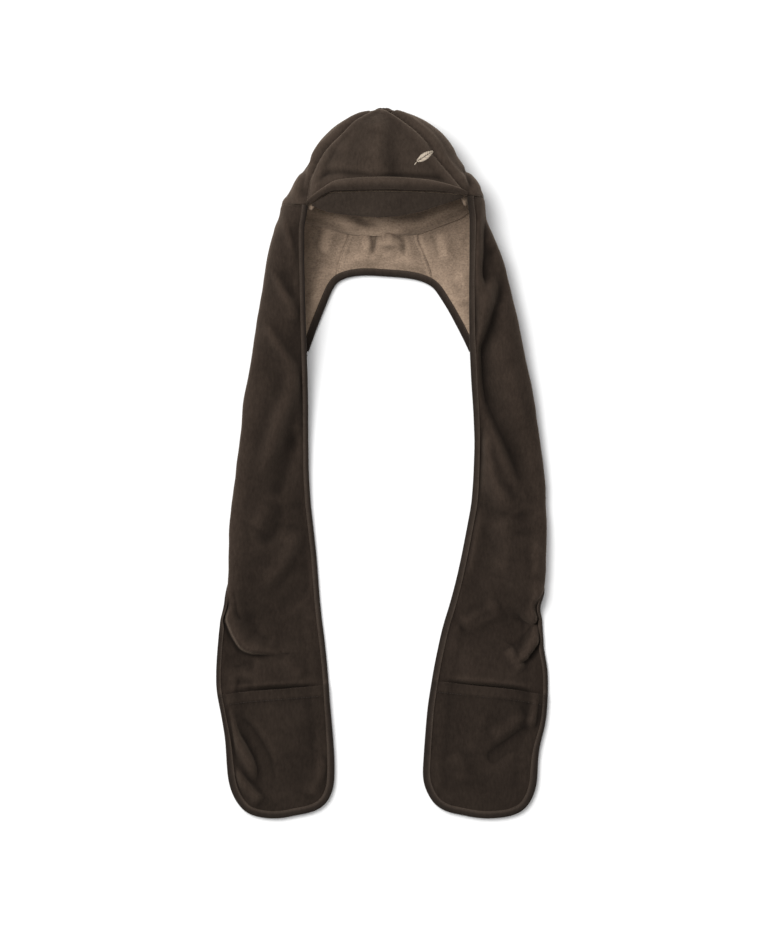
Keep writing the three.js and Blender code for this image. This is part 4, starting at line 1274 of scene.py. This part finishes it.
def pocket_point(side, u, v):
    y = mix(look(side["mouth"], u, 1, MOUTH_ROUND), side["end_y"], v)
    point = band(side, y, u=mix(POCKET_INSET, 1 - POCKET_INSET, u))
    belly = POCKET_BELLY * between(BELLY_SIDES, u) * (1 - ease(*BELLY_DOWN, v))
    folds = np.maximum(LEAST_PUFF - belly, fold_lift(side["pocket_folds"], point[:, 0], point[:, 1]))
    calm = ease(*POCKET_FOLD_SIDES, np.minimum(u, 1 - u))
    point[:, 2] += POCKET_LIFT + belly + folds * calm * ease(*POCKET_FOLD_DOWN, v)
    return point


def pocket_relief(spots):
    edge = ease(*POCKET_FROM_SIDES, spots.side) * ease(*POCKET_FROM_TOP, spots.high)
    groove = HEM_GROOVE * near(spots.low - HEM, HEM_GROOVE_WIDE)
    hem = HEM_HIGH * ease(HEM + 1, HEM - 2, spots.low) - groove
    wave = np.sin(spots.left * 2 * np.pi / PUCKER_EVERY)
    puckers = HEM_PUCKER * wave * near(spots.low - HEM, HEM_PUCKER_WIDE)
    return (hem + puckers + swell(spots.points, POCKET_LUMPS)) * edge


for side in (LEFT, RIGHT):
    side["pocket"] = cloth(
        f"pocket_{side['name']}", partial(pocket_point, side), (90, 90), POCKET, pocket_fleece,
        pocket_relief, flip=side["out"] > 0,
    )

# Bindings. Dark stretch tape is folded over every raw edge and stitched down near its inner
# side: one run round each scarf end, and one along the neck behind the wearer.
TAPE_REACH = 7
# Way that the tape reaches in on the outer edge above the pocket
OUTER_REACH = 4
TAPE_LIFT = SCARF / 2 + SEAM_GAP + TAPE / 2
TAPE_ROUND = EDGE_COVER
TAPE_WALL = 0.9 * TAPE
RIM_REACH = 0.6
RIB_SCALE = 0.32 / MM
RIB_HEIGHT = 0.8
STITCH_FROM_EDGE = 1.3
TAPE_STEP = 2.4
NECK_TAPE_LIFT = 1.4
NECK_ROUNDS = 22
LONG_TAPE_STOP_Y = 130
NECK_TAPE_FROM_Y = 134
# Where the tape turns the end's corners, and where its reach changes on the inner and outer edge
CORNER_Y = -380
INNER_REACH_Y = (-400, -250)
OUTER_REACH_Y = (-385, -300)
# How far over the pocket's mouth the tape begins to lift over the pocket and is lifted
OVER_MOUTH = (4, -2)
# Share of the tape's width in each of its two legs
TAPE_LEG = 0.42
TAPE_PUFF = 0.3
STITCH_SINK = 0.55
STITCH_SINK_WIDE = 0.9
# Points along the inner edge, the end and the outer edge
INNER_COUNT = 500
END_COUNT = 78
OUTER_COUNT = 420
# Points along the neck: behind each band, and across the centre panel
BEHIND_COUNT = 120
ACROSS_COUNT = 88
NECK_WAY_IN = 0.15


def tape_ribs(tree, height):
    """The pile's height with fine ribs across the tape."""
    along = add_node(tree, "ShaderNodeTexCoord").outputs["UV"]
    wave = {"Vector": along, "Scale": RIB_SCALE, "Distortion": 0.6, "Detail": 1}
    ribs = add_node(tree, "ShaderNodeTexWave", wave, bands_direction="Y").outputs["Fac"]
    return weigh(tree, height, ribs, RIB_HEIGHT)


edge_tape = pile_material(
    "edge_tape", BRUSHED_PILE, (0.035, 0.0249, 0.0187), (0.062, 0.0452, 0.0345), 0.3, 0.4,
    (0.9, 0.12, 0.2, 0.4, BROWN_SHEEN), tape_ribs,
)


def smooth_run(values, times):
    for _ in range(times):
        inner = (values[:-2] + 2 * values[1:-1] + values[2:]) / 4
        values = np.vstack([values[:1], inner, values[-1:]])
    return values


def even_run(run, rounds=3):
    """Edge stations made even: one each few millimetres, with the way into the cloth and the lift."""
    edge, inward, lift, reach = run
    walked = walk(edge)
    at = np.linspace(0, walked[-1], int(walked[-1] / TAPE_STEP))
    edge = smooth_run(read_off(at, walked, edge), rounds)
    inward = smooth_run(read_off(at, walked, inward), 2 * rounds)
    lift, reach = np.interp(at, walked, lift), np.interp(at, walked, reach)
    along = unit(np.gradient(edge, axis=0))
    inward = unit(inward - along * (inward * along).sum(1, keepdims=True))
    normal = unit(np.cross(along, inward))
    return {"edge": edge, "inward": inward, "normal": normal, "lift": lift, "reach": reach}


def tape_section(share, lift, reach):
    """The tape's folded section: way into the cloth and height, from its top leg round to the lower one."""
    on_top = share < TAPE_LEG
    under = share > 1 - TAPE_LEG
    step = np.where(on_top, share / TAPE_LEG, np.where(under, (1 - share) / TAPE_LEG, 1))
    inside = reach * (1 - step)
    angle = np.pi * np.clip((share - TAPE_LEG) / (1 - 2 * TAPE_LEG), 0, 1)
    inside = inside - np.where(on_top | under, 0, TAPE_ROUND * np.sin(angle))
    sink = STITCH_SINK * near(inside - reach + STITCH_FROM_EDGE, STITCH_SINK_WIDE)
    puff = TAPE_PUFF * np.sin(np.pi * (1 - step)) - sink
    top = TAPE_LIFT + lift
    height = np.where(on_top, top + puff, np.where(under, -TAPE_LIFT - puff, 0))
    round_height = (top - TAPE_LIFT) / 2 + (top + TAPE_LIFT) / 2 * np.cos(angle)
    return inside, np.where(on_top | under, height, round_height)


def tape(name, run, upward):
    """A folded tape swept along an even run of edge stations."""
    count = len(run["edge"]) - 1

    def place(u, v):
        index = np.clip(v * count, 0, count)
        low = np.minimum(index.astype(int), count - 1)
        part = index - low
        lift, reach = (mix(run[key][low], run[key][low + 1], part) for key in ("lift", "reach"))
        edge, inward, normal = (
            mix(run[key][low], run[key][low + 1], part[:, None]) for key in ("edge", "inward", "normal")
        )
        inside, height = tape_section(u, lift, reach)
        return edge + inward * inside[:, None] + upward * normal * height[:, None]

    return cloth(name, place, (22, count), TAPE_WALL, edge_tape, flip=upward > 0)


def long_run(side):
    """Round a band: down the inner edge, across the end and up the back edge behind the neck."""
    end = side["end_y"]

    def along_edge(y, way):
        """Points down an edge, and the way from each into the cloth, which turns up at the corner."""
        edge = band(side, y, **{way: np.zeros_like(y)})
        turned_y = y + TAPE_REACH * ease(CORNER_Y, end, y)
        return edge, band(side, turned_y, **{way: np.full_like(y, TAPE_REACH)}) - edge

    down = np.linspace(RIM_Y + RIM_REACH, end, INNER_COUNT)
    inner, inner_in = along_edge(down, "walked")
    across = np.linspace(0, 1, END_COUNT + 2)[1:-1]
    level = np.full(END_COUNT, end)
    bottom = band(side, level, u=across)
    bottom_in = band(side, level + TAPE_REACH, u=across) - bottom
    up = np.linspace(end, LONG_TAPE_STOP_Y, OUTER_COUNT)
    outer, outer_in = along_edge(up, "back_walked")
    edge = np.vstack([inner, bottom, outer])
    inward = np.vstack([inner_in, bottom_in, outer_in])
    half = END_COUNT // 2
    mouth = np.repeat([side["mouth"][0][1], side["mouth"][-1][1]], [INNER_COUNT + half, half + OUTER_COUNT])
    lift = (POCKET + POCKET_GAP) * ease(*OVER_MOUTH, edge[:, 1] - mouth)
    reach = np.concatenate([
        mix(TAPE_REACH, side["tape_reach"], ease(*INNER_REACH_Y, down)),
        np.full(END_COUNT, TAPE_REACH),
        mix(TAPE_REACH, OUTER_REACH, ease(*OUTER_REACH_Y, up)),
    ])
    return even_run((edge, inward, lift, reach))


def neck_run():
    """Along the neck: out from behind the left band, across the centre panel and behind the right one."""

    def part(side):
        y = np.linspace(NECK_TAPE_FROM_Y, side["neck_rows"][-1], BEHIND_COUNT)
        edge = band(side, y, back_walked=np.zeros_like(y))
        return edge, band(side, y, back_walked=np.full_like(y, TAPE_REACH)) - edge

    left, left_in = part(LEFT)
    right, right_in = part(RIGHT)
    u = np.linspace(0, 1, ACROSS_COUNT + 2)[1:-1]
    middle = neck_surface(u, np.zeros_like(u))
    middle_in = neck_surface(u, np.full_like(u, NECK_WAY_IN)) - middle
    edge = np.vstack([left, middle, right[::-1]])
    inward = np.vstack([left_in, middle_in, right_in[::-1]])
    count = len(edge)
    return even_run((edge, inward, np.full(count, NECK_TAPE_LIFT), np.full(count, TAPE_REACH)), NECK_ROUNDS)


LEFT["run"], RIGHT["run"], center_run = long_run(LEFT), long_run(RIGHT), neck_run()
LEFT["tape"] = tape("edge_binding_left", LEFT["run"], -1)
RIGHT["tape"] = tape("edge_binding_right", RIGHT["run"], 1)
neck_tape = tape("neck_binding", center_run, 1)

# Stitches. Each binding and each pocket hem is held by one line of lockstitch, and the neck
# lining's seams by twin lines; the thread sinks a little into the pile.
STITCH_EVERY = 3.1
STITCH_LONG = 2.3
THREAD = 0.5
SEAM_THREAD = 0.4
# How far the middle of the thread stands over the tape, the hem and the lining
TAPE_STITCH_HIGH = 0.3
HEM_STITCH_HIGH = 0.05
SEAM_STITCH_HIGH = 0.1
# Shares across the neck lining's centre part: twin lines beside each of its seams
SEAM_LINES = (0.02, 0.07, 0.93, 0.98)
# The hem's line across the pocket and the lines up the lining: first share, last share, points
HEM_LINE = (0.03, 0.97, 70)
SEAM_LINE = (0.06, 0.98, 40)
THREAD_SHADE = 0.75
THREAD_SPECKS = (2600, 2)


def thread_material(name, color):
    """Twisted thread: fine specks of its colour and of a darker one."""
    material, tree, shader = new_material(name)
    place = add_node(tree, "ShaderNodeTexCoord").outputs["Object"]
    dark = (*[THREAD_SHADE * part for part in color], 1)
    specks = blended(tree, noise_at(tree, place, *THREAD_SPECKS), dark, (*color, 1))
    feed(tree, shader, {"Base Color": specks, "Roughness": 0.6})
    return material


brown_thread = thread_material("brown_thread", (0.05, 0.037, 0.028))
hem_thread = thread_material("hem_thread", (0.036, 0.0255, 0.0195))
tan_thread = thread_material("tan_thread", (0.13, 0.098, 0.074))


def grain_at(middle, along, cross, half_size):
    """Places a unit ball as a grain of thread: middle, way along it, way across it, half sizes."""
    turn = Matrix((along, cross, along.cross(cross))).transposed().to_4x4()
    return Matrix.Scale(MM, 4) @ Matrix.Translation(middle) @ turn @ Matrix.Diagonal((*half_size, 1))


def sew(name, lines, material, thread=THREAD):
    """Stitches along lines of points with their normals: small rounded grains of thread, joined."""
    seams = bmesh.new()
    for points, normals in lines:
        walked = walk(points)
        for way in np.arange(STITCH_EVERY / 2, walked[-1], STITCH_EVERY):
            middle, ahead, back = (
                Vector(read_off(way + step, walked, points))
                for step in (0, STITCH_LONG / 2, -STITCH_LONG / 2)
            )
            normal = Vector(read_off(way, walked, normals))
            along = (ahead - back).normalized()
            cross = normal.cross(along).normalized()
            matrix = grain_at(middle, along, cross, (STITCH_LONG / 2, thread / 2, thread / 2))
            bmesh.ops.create_icosphere(seams, subdivisions=1, radius=1, matrix=matrix)
    return add_piece(name, seams, material)


def tape_seam(run, upward):
    height = TAPE_LIFT + run["lift"] + TAPE_STITCH_HIGH
    inside = run["reach"] - STITCH_FROM_EDGE
    points = run["edge"] + run["inward"] * inside[:, None] + upward * run["normal"] * height[:, None]
    return points, upward * run["normal"]


def facing_up(points, height):
    """A line of points lifted by a height, with normals that face up."""
    points[:, 2] += height
    return points, np.tile([0.0, 0.0, 1.0], (len(points), 1))


def hem_seam(side):
    share = np.linspace(*HEM_LINE)
    length = look(side["mouth"], share, 1) - side["end_y"]
    return facing_up(pocket_point(side, share, HEM / length), POCKET / 2 + HEM_STITCH_HIGH)


def neck_seam(u):
    """A stitched line up the neck lining, beside the seam at the left or right of the centre part."""
    v = np.linspace(*SEAM_LINE)
    return facing_up(center_lining_place(np.full_like(v, u), v), LINING / 2 + SEAM_STITCH_HIGH)


for side, upward in ((LEFT, -1), (RIGHT, 1)):
    name = side["name"]
    tape_line = tape_seam(side["run"], upward)
    side["stitches"] = sew(f"binding_stitches_{name}", [tape_line], brown_thread)
    side["hem"] = sew(f"hem_stitches_{name}", [hem_seam(side)], hem_thread)
neck_stitches = sew("neck_binding_stitches", [tape_seam(center_run, 1)], brown_thread)
seam_stitches = sew(
    "neck_seam_stitches", [neck_seam(u) for u in SEAM_LINES], tan_thread, SEAM_THREAD
)

# Embroidered leaf. A small plain leaf in beige satin stitch decorates the upper right of the
# front panel: slanted threads lie side by side on each half, with a bare rib between and a stem.
LEAF_AT = (51, 365)
LEAF_LONG = 23
LEAF_WIDE = 10
LEAF_TILT = 34
LEAF_STEM = 5
LEAF_THREADS = 20
LEAF_LEAN = 38
LEAF_RIB = 0.25
LEAF_STEM_DROP = 1.6
LEAF_LEAST = 0.4
# Powers that set how soon the leaf is widest, and how round its outline is
LEAF_EARLY = 0.62
LEAF_ROUND = 1.1
# Half sizes of a satin thread: how far it goes past its ends, across and up
SATIN = (0.3, 0.55, 0.4)
THREAD_SINK = 0.25
front_mesh = bpy.data.objects["sewn_crown_front_panel"].data
front_points = np.array([vert.co for vert in front_mesh.vertices]) / MM
front_normals = np.array([vert.normal for vert in front_mesh.vertices])
beige_thread = thread_material("beige_thread", (0.55, 0.46, 0.36))


def on_front(x, y):
    """The point on the front panel's outer face at X, Y, between its nearest mesh points."""
    away = np.hypot(front_points[:, 0] - x, front_points[:, 1] - y)
    nearest = np.argsort(away)[:4]
    weights = 1 / (away[nearest] + 0.01)
    point = (front_points[nearest] * weights[:, None]).sum(0) / weights.sum()
    return Vector(point + front_normals[nearest].mean(0) * (SHELL / 2 + THREAD_SINK))


def satin_leaf():
    leaf = bmesh.new()
    tilt = math.radians(LEAF_TILT)
    lean = math.radians(LEAF_LEAN)
    stem = -LEAF_LONG / 2
    threads = [(np.array([stem - LEAF_STEM, -LEAF_STEM_DROP]), np.array([stem, 0.0]))]
    for half in (-1, 1):
        for step in range(LEAF_THREADS):
            share = (step + 0.5) / LEAF_THREADS
            wide = LEAF_WIDE / 2 * math.sin(math.pi * share**LEAF_EARLY) ** LEAF_ROUND + LEAF_LEAST
            foot = np.array([mix(-LEAF_LONG / 2, LEAF_LONG / 2, share), half * LEAF_RIB])
            tip = foot + np.array([wide * math.sin(lean), half * wide * math.cos(lean)])
            threads.append((foot, tip))
    for start, stop in threads:
        ends = []
        for spot in (start, stop):
            x = LEAF_AT[0] + spot[0] * math.cos(tilt) - spot[1] * math.sin(tilt)
            y = LEAF_AT[1] + spot[0] * math.sin(tilt) + spot[1] * math.cos(tilt)
            ends.append(on_front(x, y))
        middle = (ends[0] + ends[1]) / 2
        along = (ends[1] - ends[0]).normalized()
        cross = Vector((0, 0, 1)).cross(along).normalized()
        half_long = (ends[1] - ends[0]).length / 2 + SATIN[0]
        matrix = grain_at(middle, along, cross, (half_long, *SATIN[1:]))
        bmesh.ops.create_uvsphere(leaf, u_segments=6, v_segments=6, radius=1, matrix=matrix)
    add_piece("embroidered_leaf", leaf, beige_thread)


satin_leaf()

# Floor and light. A plain white floor under a broad soft light from the upper left, filled
# from all round, as on a photographer's table.
FLOOR_WHITE = (0.96, 0.96, 0.96, 1)
floor_bmesh = bmesh.new()
bmesh.ops.create_grid(floor_bmesh, x_segments=1, y_segments=1, size=6)
floor_mesh = bpy.data.meshes.new("floor")
floor_bmesh.to_mesh(floor_mesh)
floor_bmesh.free()
floor = add_object("floor", floor_mesh)
white, white_tree, white_shader = new_material("floor_white")
feed(white_tree, white_shader, {"Base Color": FLOOR_WHITE, "Roughness": 1.0, "Specular IOR Level": 0.0})
floor_mesh.materials.append(white)

SKY_STRENGTH = 0.56
SOFTBOX_AT = (-2.6, 2.3, 5.1)
SOFTBOX_SIZE = 4
SOFTBOX_POWER = 400
sky = bpy.data.worlds.new("studio")
sky.use_nodes = True
feed(sky.node_tree, sky.node_tree.nodes["Background"], {"Color": (1, 1, 1, 1), "Strength": SKY_STRENGTH})
bpy.context.scene.world = sky
softbox_data = bpy.data.lights.new("softbox", "AREA")
softbox_data.energy = SOFTBOX_POWER
softbox_data.size = SOFTBOX_SIZE
softbox = add_object("softbox", softbox_data)
softbox.location = SOFTBOX_AT
softbox.rotation_euler = (-Vector(SOFTBOX_AT)).to_track_quat("-Z", "Y").to_euler()
bpy.context.scene.view_settings.view_transform = "Standard"
